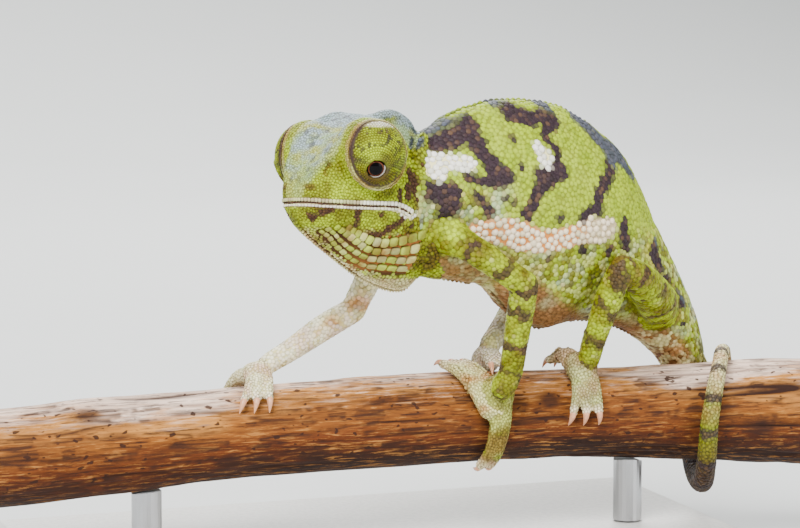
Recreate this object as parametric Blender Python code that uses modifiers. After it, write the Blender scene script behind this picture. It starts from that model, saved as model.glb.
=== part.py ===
"""Flap-necked chameleon on a cut perch, held by a plain display stand.

The animal is modelled whole, in millimetres, from lofts and tapered tubes that are fused,
smoothed and reduced.  It is then parted into its named pieces with thin cuts.
World frame: X runs along the perch (the head end is -X), -Y is the animal's left side, Z is up.
The origin is the middle of the underside of the stand's base.
"""
import math
import bpy
import bmesh
from mathutils import Matrix, Vector

MM = 0.001                      # every length below is in millimetres
GAP = 0.3                       # clearance left between neighbouring solids

# ---- stand ---------------------------------------------------------------------------
BASE_SIZE = (96.0, 62.0, 5.0)
BASE_EDGE = 1.0
ROD_RADIUS = 2.0
ROD_X = (-34.0, 35.0)
PERCH_HEIGHT = 21.0             # axis of the perch above the floor, at its crown

# ---- perch ---------------------------------------------------------------------------
PERCH_X = (-57.5, 65.0)
PERCH_RADIUS = 6.2              # in the middle of its length
PERCH_SWELL_LEFT = 0.35
PERCH_SWELL_RIGHT = 1.35
PERCH_SAG = 1.4                 # drop of the axis 50 mm away from the crown

# ---- animal --------------------------------------------------------------------------
RUMP = (47.6, 7.0)              # plan position of the body frame's origin
BODY_YAW = 18.0                 # degrees the body points away from the perch
HEAD_AT = (-10.4, -10.7, 37.0)  # middle of the head between the eyes, from the perch axis
HEAD_YAW = 27.0
HEAD_PITCH = 6.5
HEAD_ROLL = 5.0
VOXEL = 0.30                    # size of the cells that fuse the flesh
SMOOTH_STEPS = 3
FLESH_TRIANGLES = 7200
PIECE_RATIO = 0.49              # share of its triangles each parted piece keeps

EYE_AT = (0.5, 5.1, 0.15)        # centre of the left eye's turret in the head frame
EYE_TURRET_RADIUS = 4.8
RIM_AT = (0.6, 6.85, 0.0)
RIM_RADIUS = 4.48
RIM_THICKNESS = 0.36
EYE_TURN = 12.0                 # degrees the eye looks forward of straight out
EYE_BALL_RADIUS = 1.7
TURRET_CUT = 4.40               # radius of the cut round the dome

SKIN = (0.42, 0.52, 0.10)
PALE = (0.74, 0.72, 0.55)
COLOURS = {"stand_base": (0.10, 0.10, 0.11), "stand_rod": (0.55, 0.55, 0.56),
           "perch": (0.42, 0.24, 0.13), "eyeball": (0.03, 0.02, 0.02)}


# ======================================================================================
# frames, meshes and modifiers
# ======================================================================================
def frame(origin, yaw, pitch=0.0, roll=0.0):
    """Matrix whose axes are forward (yawed from -X toward -Y, nose up by pitch), left, up.

    A positive roll lifts the left side."""
    yaw, pitch = math.radians(yaw), math.radians(pitch)
    flat = Vector((-math.cos(yaw), -math.sin(yaw), 0.0))
    left = Vector((math.sin(yaw), -math.cos(yaw), 0.0))
    up = Vector((0.0, 0.0, 1.0))
    fwd = flat * math.cos(pitch) + up * math.sin(pitch)
    top = up * math.cos(pitch) - flat * math.sin(pitch)
    c, s = math.cos(math.radians(roll)), math.sin(math.radians(roll))
    side, top = left * c + top * s, top * c - left * s
    m = Matrix.Identity(4)
    for row in range(3):
        m[row][0], m[row][1], m[row][2] = fwd[row], side[row], top[row]
        m[row][3] = origin[row]
    return m


BODY = frame((RUMP[0], RUMP[1], PERCH_HEIGHT), BODY_YAW)
HEAD = frame((HEAD_AT[0], HEAD_AT[1], PERCH_HEIGHT + HEAD_AT[2]), HEAD_YAW, HEAD_PITCH,
             HEAD_ROLL)


def perch_axis(x):
    """Height of the perch's axis at x."""
    return PERCH_HEIGHT - PERCH_SAG * (x / 50.0) ** 2


def perch_radius(x, angle=0.0):
    """Radius of the perch at x; angle is measured round it from the top."""
    swell = PERCH_SWELL_RIGHT * max(0.0, (x - 15.0) / 45.0) ** 1.6
    swell += PERCH_SWELL_LEFT * max(0.0, (-x - 10.0) / 45.0)
    wave = 0.12 * math.sin(0.13 * x + 0.8) + 0.10 * math.cos(3.0 * angle + 0.05 * x)
    return PERCH_RADIUS + swell + wave


def round_perch(x, degrees, lift):
    """Point at a height 'lift' off the perch; degrees from the top toward the animal's left."""
    a = math.radians(degrees)
    r = perch_radius(x, a) + lift
    return Vector((x, -r * math.sin(a), perch_axis(x) + r * math.cos(a)))


def from_perch(x, y, w):
    """World point given by its height w over the perch's crown."""
    return Vector((x, y, PERCH_HEIGHT + w))


def body(u, v, w):
    return BODY @ Vector((u, v, w))


def head(f, l, z):
    return HEAD @ Vector((f, l, z))


def smooth_values(stations, t):
    """Smooth (Catmull-Rom) values between the rows of a short table, at 0 <= t <= rows-1."""
    n = len(stations)
    i = min(int(t), n - 2)
    k = t - i
    a, b, c, d = (stations[max(0, min(n - 1, i + j))] for j in (-1, 0, 1, 2))
    out = []
    for p, q, r, s in zip(a, b, c, d):
        out.append(0.5 * (2 * q + (r - p) * k + (2 * p - 5 * q + 4 * r - s) * k * k
                          + (3 * q - p - 3 * r + s) * k ** 3))
    return out


def add_object(name, mesh, collection):
    obj = bpy.data.objects.new(name, mesh)
    collection.objects.link(obj)
    return obj


def loft(rings):
    """Closed solid through equal rings of points, its two ends closed by fans."""
    bm = bmesh.new()
    rows = [[bm.verts.new(p) for p in ring] for ring in rings]
    count = len(rows[0])
    for a, b in zip(rows, rows[1:]):
        for i in range(count):
            j = (i + 1) % count
            bm.faces.new((a[i], a[j], b[j], b[i]))
    for row in (rows[0], rows[-1]):
        hub = bm.verts.new(sum((v.co for v in row), Vector()) / count)
        for i in range(count):
            bm.faces.new((row[i], row[(i + 1) % count], hub))
    bmesh.ops.recalc_face_normals(bm, faces=bm.faces)
    mesh = bpy.data.meshes.new("loft")
    bm.to_mesh(mesh)
    bm.free()
    return mesh


def tube(points, radii, steps=5, sides=3):
    """Tapered tube with round ends through points, as a mesh."""
    curve = bpy.data.curves.new("tube", "CURVE")
    curve.dimensions = "3D"
    curve.bevel_depth = 1.0
    curve.bevel_resolution = sides
    curve.use_fill_caps = True
    rows = [tuple(p) + (r,) for p, r in zip(points, radii)]
    first = (Vector(points[0]) - Vector(points[1])).normalized() * radii[0]
    last = (Vector(points[-1]) - Vector(points[-2])).normalized() * radii[-1]
    dense = []
    for cap in (0.95, 0.8, 0.45):
        dense.append((Vector(points[0]) + first * cap, radii[0] * math.sqrt(1 - cap * cap)))
    for i in range((len(rows) - 1) * steps + 1):
        x, y, z, r = smooth_values(rows, min(i / steps, len(rows) - 1.0001))
        dense.append((Vector((x, y, z)), r))
    for cap in (0.45, 0.8, 0.95):
        dense.append((Vector(points[-1]) + last * cap, radii[-1] * math.sqrt(1 - cap * cap)))
    spline = curve.splines.new("POLY")
    spline.points.add(len(dense) - 1)
    for point, (co, r) in zip(spline.points, dense):
        point.co = (*co, 1.0)
        point.radius = max(r, 0.05)
    obj = add_object("tube", curve, bpy.context.scene.collection)
    bpy.context.view_layer.update()
    graph = bpy.context.evaluated_depsgraph_get()
    mesh = bpy.data.meshes.new_from_object(obj.evaluated_get(graph))
    bpy.data.objects.remove(obj)
    bm = bmesh.new()
    bm.from_mesh(mesh)
    bmesh.ops.remove_doubles(bm, verts=bm.verts, dist=0.001)
    bmesh.ops.recalc_face_normals(bm, faces=bm.faces)
    bm.to_mesh(mesh)
    bm.free()
    return mesh


def ball(matrix, size, segments=24):
    """Ellipsoid of half-sizes 'size' in the frame 'matrix'."""
    bm = bmesh.new()
    bmesh.ops.create_uvsphere(bm, u_segments=segments, v_segments=segments // 2, radius=1.0,
                              matrix=matrix @ Matrix.Diagonal((*size, 1.0)))
    mesh = bpy.data.meshes.new("ball")
    bm.to_mesh(mesh)
    bm.free()
    return mesh


def disc(centre, normal, radius, thickness=GAP, sides=20):
    """Flat round cutter across a limb."""
    turn = Vector(normal).to_track_quat("Z", "Y").to_matrix().to_4x4()
    bm = bmesh.new()
    bmesh.ops.create_cone(bm, cap_ends=True, segments=sides, radius1=radius, radius2=radius,
                          depth=thickness, matrix=Matrix.Translation(centre) @ turn)
    mesh = bpy.data.meshes.new("disc")
    bm.to_mesh(mesh)
    bm.free()
    return mesh


def merge(name, meshes, collection):
    bm = bmesh.new()
    for mesh in meshes:
        bm.from_mesh(mesh)
    out = bpy.data.meshes.new(name)
    bm.to_mesh(out)
    bm.free()
    return add_object(name, out, collection)


def apply_modifiers(obj):
    bpy.context.view_layer.update()
    graph = bpy.context.evaluated_depsgraph_get()
    mesh = bpy.data.meshes.new_from_object(obj.evaluated_get(graph))
    obj.modifiers.clear()
    obj.data = mesh


def cut(obj, cutter, operation="DIFFERENCE"):
    step = obj.modifiers.new(cutter.name, "BOOLEAN")
    step.operation = operation
    step.solver = "EXACT"
    step.object = cutter
    apply_modifiers(obj)


def material(name, colour, roughness, metallic=0.0):
    mat = bpy.data.materials.get(name)
    if mat is None:
        mat = bpy.data.materials.new(name)
        mat.use_nodes = True
        shader = mat.node_tree.nodes["Principled BSDF"]
        shader.inputs["Base Color"].default_value = (*colour, 1.0)
        shader.inputs["Roughness"].default_value = roughness
        shader.inputs["Metallic"].default_value = metallic
    return mat


# ======================================================================================
# the animal's forms
# ======================================================================================
# Trunk, from the neck to the tail root: place of the centre line (forward, up), half-depth to
# the back and to the belly, half-width.
TRUNK = ((50.5, 31.2, 8.0, 9.6, 4.2),
         (46.5, 31.0, 9.8, 10.9, 5.6),
         (41.0, 31.0, 11.9, 11.9, 6.6),
         (35.0, 30.2, 13.5, 12.3, 7.3),
         (28.0, 28.2, 14.1, 15.1, 7.6),
         (20.5, 25.4, 12.1, 15.4, 7.2),
         (13.5, 20.4, 7.7, 10.8, 6.0),
         (7.6, 14.2, 5.9, 6.4, 4.7),
         (3.4, 8.8, 4.7, 4.2, 3.7),
         (0.9, 4.4, 3.5, 3.0, 3.1))

# Head rings: forward place, crown height and half-width, cheek half-width, jaw half-width,
# keel depth of the throat.
HEAD_RINGS = ((8.9, -4.7, 0.8, 1.2, 1.1, -7.0),
              (8.5, -3.7, 1.7, 2.2, 2.0, -8.3),
              (7.7, -2.3, 2.4, 3.2, 3.0, -9.4),
              (6.4, -0.6, 3.0, 4.1, 3.9, -10.5),
              (4.6, 1.3, 3.5, 4.8, 4.7, -11.6),
              (2.6, 2.8, 3.8, 5.2, 5.1, -12.7),
              (-0.2, 4.5, 4.1, 5.7, 5.6, -14.2),
              (-3.6, 6.0, 4.2, 6.1, 6.0, -15.8),
              (-7.0, 5.9, 3.9, 6.2, 6.2, -16.8),
              (-10.0, 4.8, 3.1, 5.9, 6.0, -17.3),
              (-12.4, 3.0, 2.2, 5.0, 5.2, -17.0),
              (-14.6, 0.2, 1.4, 3.6, 4.0, -15.0))

MOUTH_LINE = ((12.5, -5.6), (9.5, -5.9), (3.0, -6.2), (-3.0, -6.7), (-6.4, -7.7), (-8.8, -9.8),
              (-10.8, -13.0), (-14.2, -15.2))


def trunk_mesh():
    rings = []
    samples = 4 * (len(TRUNK) - 1)
    centres = [smooth_values(TRUNK, min(i / 4.0, len(TRUNK) - 1.0001)) for i in range(samples + 1)]
    for i, (u, w, up, down, wide) in enumerate(centres):
        a, b = centres[max(0, i - 1)], centres[min(samples, i + 1)]
        along = Vector((a[0] - b[0], a[1] - b[1])).normalized()
        nu, nw = -along.y, along.x
        ring = []
        for k in range(28):
            t = 2.0 * math.pi * k / 28.0
            s, c = math.sin(t), math.cos(t)
            h = (up if s > 0 else down) * math.copysign(abs(s) ** 0.95, s)
            pinch = 1.0 - 0.34 * max(0.0, s) ** 1.5 - 0.10 * max(0.0, -s) ** 2
            v = wide * pinch * math.copysign(abs(c) ** 0.86, c)
            ring.append(body(u + nu * h, v, w + nw * h))
        rings.append(ring)
    return loft(rings)


def head_mesh():
    rings = []
    samples = 3 * (len(HEAD_RINGS) - 1)
    for i in range(samples + 1):
        f, crown, top, cheek, jaw, keel = smooth_values(HEAD_RINGS,
                                                        min(i / 3.0, len(HEAD_RINGS) - 1.0001))
        mouth = -6.0 + 0.12 * min(0.0, f)
        side = ((0.0, crown - 0.45), (0.62 * top, crown - 0.1), (top, crown - 0.5),
                (0.5 * (top + cheek), crown * 0.45 + mouth * 0.55 + 1.2),
                (cheek, mouth + 1.6), (jaw, mouth - 0.4),
                (0.90 * jaw, mouth + 0.30 * (keel - mouth)),
                (0.66 * jaw, mouth + 0.62 * (keel - mouth)),
                (0.30 * jaw, mouth + 0.88 * (keel - mouth)), (0.0, keel))
        half = []
        for k in range(19):
            half.append(smooth_values(side, min(k / 18.0 * 9.0, 8.9999)))
        half[0][0] = half[-1][0] = 0.0
        ring = [head(f, l, z) for l, z in half]
        ring += [head(f, -l, z) for l, z in reversed(half[1:-1])]
        rings.append(ring)
    return loft(rings)


def neck_mesh():
    """Bridge from the back of the skull to the shoulders."""
    return tube([head(-6.0, 0.0, -2.0), head(-10.5, 0.0, -2.6), body(47.5, 0.4, 32.0),
                 body(43.0, 0.0, 31.0)], [4.6, 5.2, 5.8, 6.0], sides=5)


def turret_matrix(side):
    turn = Matrix.Rotation(math.radians(side * EYE_TURN), 4, "Z")
    f, l, z = EYE_AT
    return HEAD @ Matrix.Translation((f, side * l, z)) @ turn.inverted()


def turret_meshes(side):
    """Dome of one eye turret with the raised rim round its root."""
    forms = [ball(turret_matrix(side), (EYE_TURRET_RADIUS,) * 3, 28)]
    turn = Matrix.Rotation(math.radians(-side * EYE_TURN), 4, "Z")
    place = HEAD @ Matrix.Translation((RIM_AT[0], side * RIM_AT[1], RIM_AT[2])) @ turn
    loop = []
    for k in range(25):
        a = 2.0 * math.pi * k / 24.0
        loop.append(place @ Vector((RIM_RADIUS * math.cos(a), 0.0, RIM_RADIUS * math.sin(a))))
    forms.append(tube(loop, [RIM_THICKNESS] * 25, steps=1))
    return forms


def ridge_meshes(side):
    """Brow and snout ridge of one side, and the low flap behind the skull."""
    s = side
    brow = [head(8.2, s * 1.9, -3.9), head(7.2, s * 2.7, -1.9), head(5.4, s * 3.5, 0.4),
            head(3.2, s * 4.0, 2.3), head(0.0, s * 4.4, 4.4), head(-4.0, s * 4.4, 5.6),
            head(-8.0, s * 3.7, 4.8), head(-11.0, s * 2.2, 3.6)]
    radii = [0.5, 0.6, 0.65, 0.7, 0.75, 0.75, 0.7, 0.6]
    flap_turn = Matrix.Rotation(math.radians(s * 14.0), 4, "Z")
    flap = ball(HEAD @ Matrix.Translation((-9.9, s * 5.3, -1.4)) @ flap_turn, (2.3, 0.8, 5.2))
    return [tube(brow, radii), flap]


# Upper and lower length of each leg: points in the body frame with the half-thickness there.
LEGS = {
    "left_upper_arm": ((47.5, 3.2, 26.6, 2.5), (45.6, 6.6, 24.8, 2.1), (41.6, 8.7, 21.8, 1.9),
                       (38.6, 9.4, 19.6, 1.9)),
    "left_forearm": ((38.6, 9.4, 19.6, 1.95), (38.3, 8.2, 15.8, 1.9), (38.0, 6.8, 11.2, 1.75),
                     (37.5, 5.3, 7.4, 1.7), (38.2, 4.6, 5.4, 1.8)),
    "right_upper_arm": ((49.0, -3.2, 26.5, 2.5), (50.4, -6.4, 22.5, 2.1), (51.6, -9.0, 17.6, 1.8),
                        (52.4, -9.6, 15.4, 1.75)),
    "right_forearm": ((52.4, -9.6, 15.4, 1.75), (56.2, -11.0, 13.3, 1.85),
                      (60.4, -12.4, 10.6, 1.6), (63.6, -13.4, 8.8, 1.45)),
    "left_thigh": ((9.0, 2.6, 13.6, 3.3), (12.6, 6.2, 15.4, 3.0), (18.4, 9.6, 18.8, 2.5),
                   (22.8, 11.0, 20.8, 1.9)),
    "left_shank": ((22.8, 11.0, 20.8, 1.95), (23.6, 9.2, 16.6, 2.0), (23.9, 7.0, 11.6, 1.75),
                   (23.6, 5.2, 7.8, 1.6)),
    "right_thigh": ((8.0, -2.6, 13.0, 3.2), (11.6, -6.6, 14.2, 2.9), (16.2, -9.8, 15.6, 2.4),
                    (19.8, -11.4, 16.2, 1.9)),
    "right_shank": ((19.8, -11.4, 16.2, 1.95), (23.8, -9.6, 14.0, 1.95), (28.2, -7.6, 11.2, 1.7),
                    (31.2, -6.6, 9.2, 1.55)),
}
UPPER_LEGS = ("left_upper_arm", "right_upper_arm", "left_thigh", "right_thigh")
LEG_MARGIN = 0.45               # how far past its surface an upper leg takes in the flank


def leg_tube(name, grow=0.0):
    rows = LEGS[name]
    return tube([body(u, v, w) for u, v, w, r in rows], [r + grow for u, v, w, r in rows])


def limb_forms():
    return [leg_tube(name) for name in LEGS]


# Each bundle of toes: x and angle round the perch at the root and at the tips, how many toes,
# their spacing along the perch at the tips, their half-thickness, and how far they arch up.
TOE_BUNDLES = {
    "left_forefoot_outer": ((13.4, 64.0), (12.0, 142.0), 2, 1.55, 0.95, 0.0),
    "left_forefoot_inner": ((12.0, 74.0), (9.0, 4.0), 3, 1.60, 1.0, 0.1),
    "right_forefoot_inner": ((-18.7, 8.0), (-20.3, 44.0), 3, 1.75, 0.80, 0.3),
    "right_forefoot_outer": ((-19.3, -6.0), (-21.0, -74.0), 2, 1.60, 0.90, 0.3),
    "left_hindfoot_outer": ((26.4, 36.0), (25.6, 80.0), 3, 1.90, 0.85, 0.3),
    "left_hindfoot_inner": ((25.4, 20.0), (24.6, -12.0), 2, 1.45, 0.95, 1.0),
    "right_hindfoot_inner": ((15.2, -22.0), (14.9, 9.0), 2, 1.70, 0.95, 0.6),
    "right_hindfoot_outer": ((15.2, -40.0), (14.8, -104.0), 3, 1.60, 0.85, 0.2),
}
PALMS = {
    "left_forefoot": (round_perch(12.9, 58.0, 2.0), (2.3, 1.9, 2.7)),
    "right_forefoot": (round_perch(-18.9, 2.0, 1.7), (2.0, 2.2, 1.5)),
    "left_hindfoot": (round_perch(26.2, 30.0, 1.9), (2.3, 2.3, 2.2)),
    "right_hindfoot": (round_perch(15.3, -28.0, 1.8), (2.0, 2.2, 2.0)),
}


def toe_path(name, index):
    """Points of one toe lying on the perch, from the palm to its claw."""
    (x0, a0), (x1, a1), count, step, thick, arch = TOE_BUNDLES[name]
    side = index - (count - 1) / 2.0
    points = []
    for k in range(6):
        t = k / 5.0
        x = x0 + (x1 - x0) * t + side * step * (0.45 + 0.55 * t)
        lift = thick * (1.25 - 0.15 * t) + 0.1 + arch * math.sin(math.pi * min(1.0, t + 0.15))
        points.append(round_perch(x, a0 + (a1 - a0) * t, lift))
    return points


def foot_forms():
    forms = []
    for name, (x_count) in ((n, b[2]) for n, b in TOE_BUNDLES.items()):
        thick = TOE_BUNDLES[name][4]
        for index in range(x_count):
            path = toe_path(name, index)
            forms.append(tube(path, [thick * (1.30 - 0.08 * k) for k in range(6)], steps=3))
    for centre, size in PALMS.values():
        forms.append(ball(Matrix.Translation(centre), size))
    return forms


def claw_forms():
    """Short curved claw on the end of each toe."""
    forms = []
    for name, bundle in TOE_BUNDLES.items():
        for index in range(bundle[2]):
            path = toe_path(name, index)
            tip, before = path[-1], path[-2]
            out = (tip - before).normalized()
            inward = Vector((0.0, -tip.y, perch_axis(tip.x) - tip.z)).normalized()
            start = tip + out * bundle[4] * 0.55
            end = start + out * 0.95 + inward * 0.12
            turn = (end - start).to_track_quat("Z", "Y").to_matrix().to_4x4()
            bm = bmesh.new()
            bmesh.ops.create_cone(bm, cap_ends=True, segments=6, radius1=0.42, radius2=0.20,
                                  depth=(end - start).length,
                                  matrix=Matrix.Translation((start + end) / 2) @ turn)
            mesh = bpy.data.meshes.new("claw")
            bm.to_mesh(mesh)
            bm.free()
            forms.append(mesh)
    return forms


# Tail: x, angle round the perch (counted from the top, back side negative), distance of its
# centre from the perch's surface, half-thickness.
TAIL = ((49.2, -66.0, 3.2, 2.55), (49.4, -90.0, 2.6, 2.2), (49.0, -120.0, 3.0, 1.95),
        (47.8, -150.0, 3.1, 1.75), (46.3, -180.0, 3.0, 1.58), (44.6, -210.0, 2.5, 1.50),
        (43.6, -240.0, 1.9, 1.42), (43.4, -268.0, 1.6, 1.34), (44.6, -298.0, 1.5, 1.26),
        (46.6, -326.0, 1.45, 1.18), (48.6, -352.0, 1.4, 1.10), (51.0, -380.0, 1.25, 0.98),
        (53.2, -410.0, 1.15, 0.86), (54.6, -440.0, 1.05, 0.74), (55.2, -468.0, 0.95, 0.60),
        (55.0, -490.0, 0.85, 0.46))
TAIL_CUTS = (0.9, 3.2, 5.6, 8.0, 10.5, 12.8)


def tail_point(t):
    x, angle, lift, thick = smooth_values(TAIL, t)
    return round_perch(x, angle, lift), thick


def tail_form():
    samples = [tail_point(min(i / 2.0, len(TAIL) - 1.0001)) for i in range(2 * len(TAIL) - 1)]
    points = [body(6.0, 0.0, 12.6), body(3.2, -0.2, 8.0)] + [p for p, _ in samples]
    radii = [3.6, 3.2] + [r for _, r in samples]
    return tube(points, radii, steps=3)


# ======================================================================================
# fusing and parting
# ======================================================================================
def fuse_flesh(cutters):
    forms = [trunk_mesh(), head_mesh(), neck_mesh(), tail_form()]
    for side in (1, -1):
        forms += turret_meshes(side) + ridge_meshes(side)
    forms += limb_forms() + foot_forms()
    flesh = merge("flesh", forms, bpy.context.scene.collection)
    remesh = flesh.modifiers.new("fuse", "REMESH")
    remesh.mode = "VOXEL"
    remesh.voxel_size = VOXEL
    relax = flesh.modifiers.new("relax", "SMOOTH")
    relax.factor = 0.5
    relax.iterations = SMOOTH_STEPS
    apply_modifiers(flesh)
    flesh.data.calc_loop_triangles()
    reduce = flesh.modifiers.new("reduce", "DECIMATE")
    reduce.ratio = FLESH_TRIANGLES / len(flesh.data.loop_triangles)
    reduce.use_collapse_triangulate = True
    apply_modifiers(flesh)
    claws = merge("claws", claw_forms(), cutters)
    cut(flesh, claws, "UNION")
    return flesh


def eye_matrix(side):
    """Centre of an eyeball, just under the top of its turret's dome."""
    place = turret_matrix(side)
    return place @ Matrix.Translation((0.96, side * (EYE_TURRET_RADIUS - 2.04), -1.55))


def mouth_cutter(cutters):
    """Thin bent slit along the lips and under the neck, across the whole head."""
    rings = []
    upper, lower = [], []
    for i, (f, z) in enumerate(MOUTH_LINE):
        a, b = MOUTH_LINE[max(0, i - 1)], MOUTH_LINE[min(len(MOUTH_LINE) - 1, i + 1)]
        run = Vector((b[0] - a[0], b[1] - a[1])).normalized()
        off = Vector((-run.y, run.x)) * (GAP / 2)
        upper.append((f + off.x, z + off.y))
        lower.append((f - off.x, z - off.y))
    outline = upper + list(reversed(lower))
    for l in (-14.0, 14.0):
        rings.append([head(f, l, z) for f, z in outline])
    return merge("mouth_slit", [strip_solid(rings)], cutters)


def strip_solid(rings):
    """Prism between two equal outlines, its ends closed with one face each."""
    bm = bmesh.new()
    rows = [[bm.verts.new(p) for p in ring] for ring in rings]
    n = len(rows[0])
    for i in range(n):
        j = (i + 1) % n
        bm.faces.new((rows[0][i], rows[0][j], rows[1][j], rows[1][i]))
    bm.faces.new(rows[0])
    bm.faces.new(rows[1])
    bmesh.ops.recalc_face_normals(bm, faces=bm.faces)
    mesh = bpy.data.meshes.new("strip")
    bm.to_mesh(mesh)
    bm.free()
    return mesh


def parting_discs():
    """Thin discs that part the trunk, the legs, the toe bundles and the tail."""
    discs = [disc(head(-13.4, 0.0, -5.0), head(1, 0, 0.0) - head(0, 0, 0), 15.5, sides=32),
             disc(body(46.6, 0.0, 31.0), body(1, 0, 0.05) - body(0, 0, 0), 19.0, sides=32),
             disc(body(27.5, 0.0, 28.0), body(1, 0, 0.15) - body(0, 0, 0), 19.0, sides=32)]
    joints = (("left_forearm", 3, 0.8, 2.9), ("right_forearm", 2, 3.1, 2.9),
              ("left_shank", 2, 3.1, 2.9), ("right_shank", 2, 2.4, 2.9))
    for name, i, along, radius in joints:
        a, b = body(*LEGS[name][i][:3]), body(*LEGS[name][i + 1][:3])
        step = (b - a).normalized()
        discs.append(disc(a + step * (along if i < 3 else -along), step, radius, sides=12))
    discs.append(disc(body(3.6, 0.0, 9.4), body(1.0, 0.0, 2.1) - body(0, 0, 0), 6.2, sides=16))
    return discs


def foot_discs():
    """Thin discs between each palm and its two bundles of toes."""
    discs = []
    for name, ((x0, a0), (x1, a1), count, step, thick, arch) in TOE_BUNDLES.items():
        t = 0.36
        here = round_perch(x0 + (x1 - x0) * t, a0 + (a1 - a0) * t, 1.4)
        there = round_perch(x0 + (x1 - x0) * (t + 0.1), a0 + (a1 - a0) * (t + 0.1), 1.4)
        discs.append(disc(here, there - here, 3.7, sides=10))
    return discs


def tail_discs():
    discs = []
    for t in TAIL_CUTS:
        here, thick = tail_point(t)
        there = tail_point(t + 0.15)[0]
        discs.append(disc(here, there - here, thick + 1.2, sides=12))
    return discs


def turret_cups():
    """Cup-shaped cut that frees the dome of each eye turret inside its rim."""
    forms = []
    for side in (1, -1):
        place = turret_matrix(side) @ Matrix.Rotation(math.radians(-side * 90.0), 4, "X")
        rings = []
        for r, z in ((TURRET_CUT, 6.5), (TURRET_CUT, 0.5), (TURRET_CUT - GAP, 0.5 + GAP),
                     (TURRET_CUT - GAP, 6.5)):
            rings.append([place @ Vector((r * math.cos(a), r * math.sin(a), z)) for a in
                          (2.0 * math.pi * k / 28.0 for k in range(28))])
        forms.append(cup(rings))
    return forms


def cup(rings):
    """Closed solid of revolution: a wall and a floor of one thickness, open at the top."""
    bm = bmesh.new()
    n = len(rings[0])
    a, b, c, d = ([bm.verts.new(p) for p in ring] for ring in rings)
    for i in range(n):
        j = (i + 1) % n
        bm.faces.new((a[i], a[j], b[j], b[i]))
        bm.faces.new((c[i], c[j], d[j], d[i]))
        bm.faces.new((d[i], d[j], a[j], a[i]))
    bm.faces.new(b)
    bm.faces.new(c)
    bmesh.ops.recalc_face_normals(bm, faces=bm.faces)
    mesh = bpy.data.meshes.new("cup")
    bm.to_mesh(mesh)
    bm.free()
    return mesh


def islands(obj):
    """The separate closed bodies of one mesh, as new meshes with their centres."""
    bm = bmesh.new()
    bm.from_mesh(obj.data)
    bm.verts.ensure_lookup_table()
    seen, groups = set(), []
    for start in bm.verts:
        if start.index in seen:
            continue
        stack, group = [start], []
        seen.add(start.index)
        while stack:
            v = stack.pop()
            group.append(v)
            for e in v.link_edges:
                w = e.other_vert(v)
                if w.index not in seen:
                    seen.add(w.index)
                    stack.append(w)
        groups.append(group)
    out = []
    for group in groups:
        index = {v.index: i for i, v in enumerate(group)}
        faces = {f for v in group for f in v.link_faces}
        mesh = bpy.data.meshes.new("piece")
        mesh.from_pydata([v.co[:] for v in group], [],
                         [[index[v.index] for v in f.verts] for f in faces])
        solid = bmesh.new()
        solid.from_mesh(mesh)
        volume = solid.calc_volume()
        solid.free()
        lo = Vector([min(v.co[k] for v in group) for k in range(3)])
        hi = Vector([max(v.co[k] for v in group) for k in range(3)])
        out.append((mesh, (lo + hi) / 2, volume))
    bm.free()
    return out


def landmarks():
    """Where the middle of each named piece of flesh lies."""
    t = TAIL_CUTS
    spots = {"head": head(-2.0, 0.0, -2.0), "lower_jaw": head(-1.0, 0.0, -12.0),
             "eye_turret_left": head(1.0, 7.5, 0.0), "eye_turret_right": head(1.0, -7.5, 0.0),
             "neck": body(49.0, 0.0, 29.5), "trunk_front": body(37.0, 0.0, 30.0),
             "trunk_rear": body(15.0, 0.0, 24.0),
             "left_upper_arm": body(42.0, 8.0, 21.8), "left_forearm": body(38.2, 7.2, 13.0),
             "right_upper_arm": body(52.0, -8.4, 18.5), "right_forearm": body(58.6, -11.8, 12.2),
             "left_thigh": body(19.0, 9.0, 18.9), "left_shank": body(23.6, 7.6, 13.5),
             "right_thigh": body(18.0, -9.2, 17.2), "right_shank": body(25.8, -8.6, 12.8)}
    for name, (centre, size) in PALMS.items():
        spots[name] = centre
    for name, ((x0, a0), (x1, a1), count, step, thick, arch) in TOE_BUNDLES.items():
        spots[name + "_toes"] = round_perch(x0 + (x1 - x0) * 0.7, a0 + (a1 - a0) * 0.7, 1.0)
    cuts = (-0.9,) + t + (len(TAIL) - 1.01,)
    for i, (a, b) in enumerate(zip(cuts, cuts[1:])):
        name = "tail_base" if i == 0 else "tail_%d" % i
        spots[name] = tail_point(max(0.0, (a + b) / 2))[0]
    return spots


def take_leg(flesh, name, cutters):
    """Takes the upper length of a leg out of the flesh, with a little of the flank round it."""
    leg = add_object(name + "_whole", flesh.data.copy(), cutters)
    cut(leg, merge(name + "_region", [leg_tube(name, LEG_MARGIN)], cutters), "INTERSECT")
    cut(flesh, merge(name + "_clearance", [leg_tube(name, LEG_MARGIN + GAP)], cutters))
    return leg


def reduce_piece(obj):
    """Fewer triangles for one parted piece, unless that would open it."""
    whole = obj.data
    for ratio in (PIECE_RATIO, (1.0 + PIECE_RATIO) / 2.0):
        thin = obj.modifiers.new("thin", "DECIMATE")
        thin.ratio = ratio
        thin.use_collapse_triangulate = True
        apply_modifiers(obj)
        bm = bmesh.new()
        bm.from_mesh(obj.data)
        closed = all(e.is_manifold for e in bm.edges)
        bm.free()
        if closed:
            return
        obj.data = whole


def part_flesh(objects, collection):
    """Names every body left by the cuts after the nearest landmark still free."""
    pieces = [p for obj in objects for p in islands(obj) if p[2] > 0.05]
    spots = landmarks()
    pairs = sorted(((centre - spot).length, i, name) for i, (mesh, centre, volume)
                   in enumerate(pieces) for name, spot in spots.items())
    used, named = set(), {}
    for distance, i, name in pairs:
        if i in used or name in named:
            continue
        used.add(i)
        named[name] = i
    for name, i in sorted(named.items()):
        pieces[i][0].name = name
        obj = add_object(name, pieces[i][0], collection)
        reduce_piece(obj)
        tone = PALE if "right" in name and "foot" in name else SKIN
        obj.data.materials.append(material("skin_" + name, tone, 0.6))
    return pieces, named, spots


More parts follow.
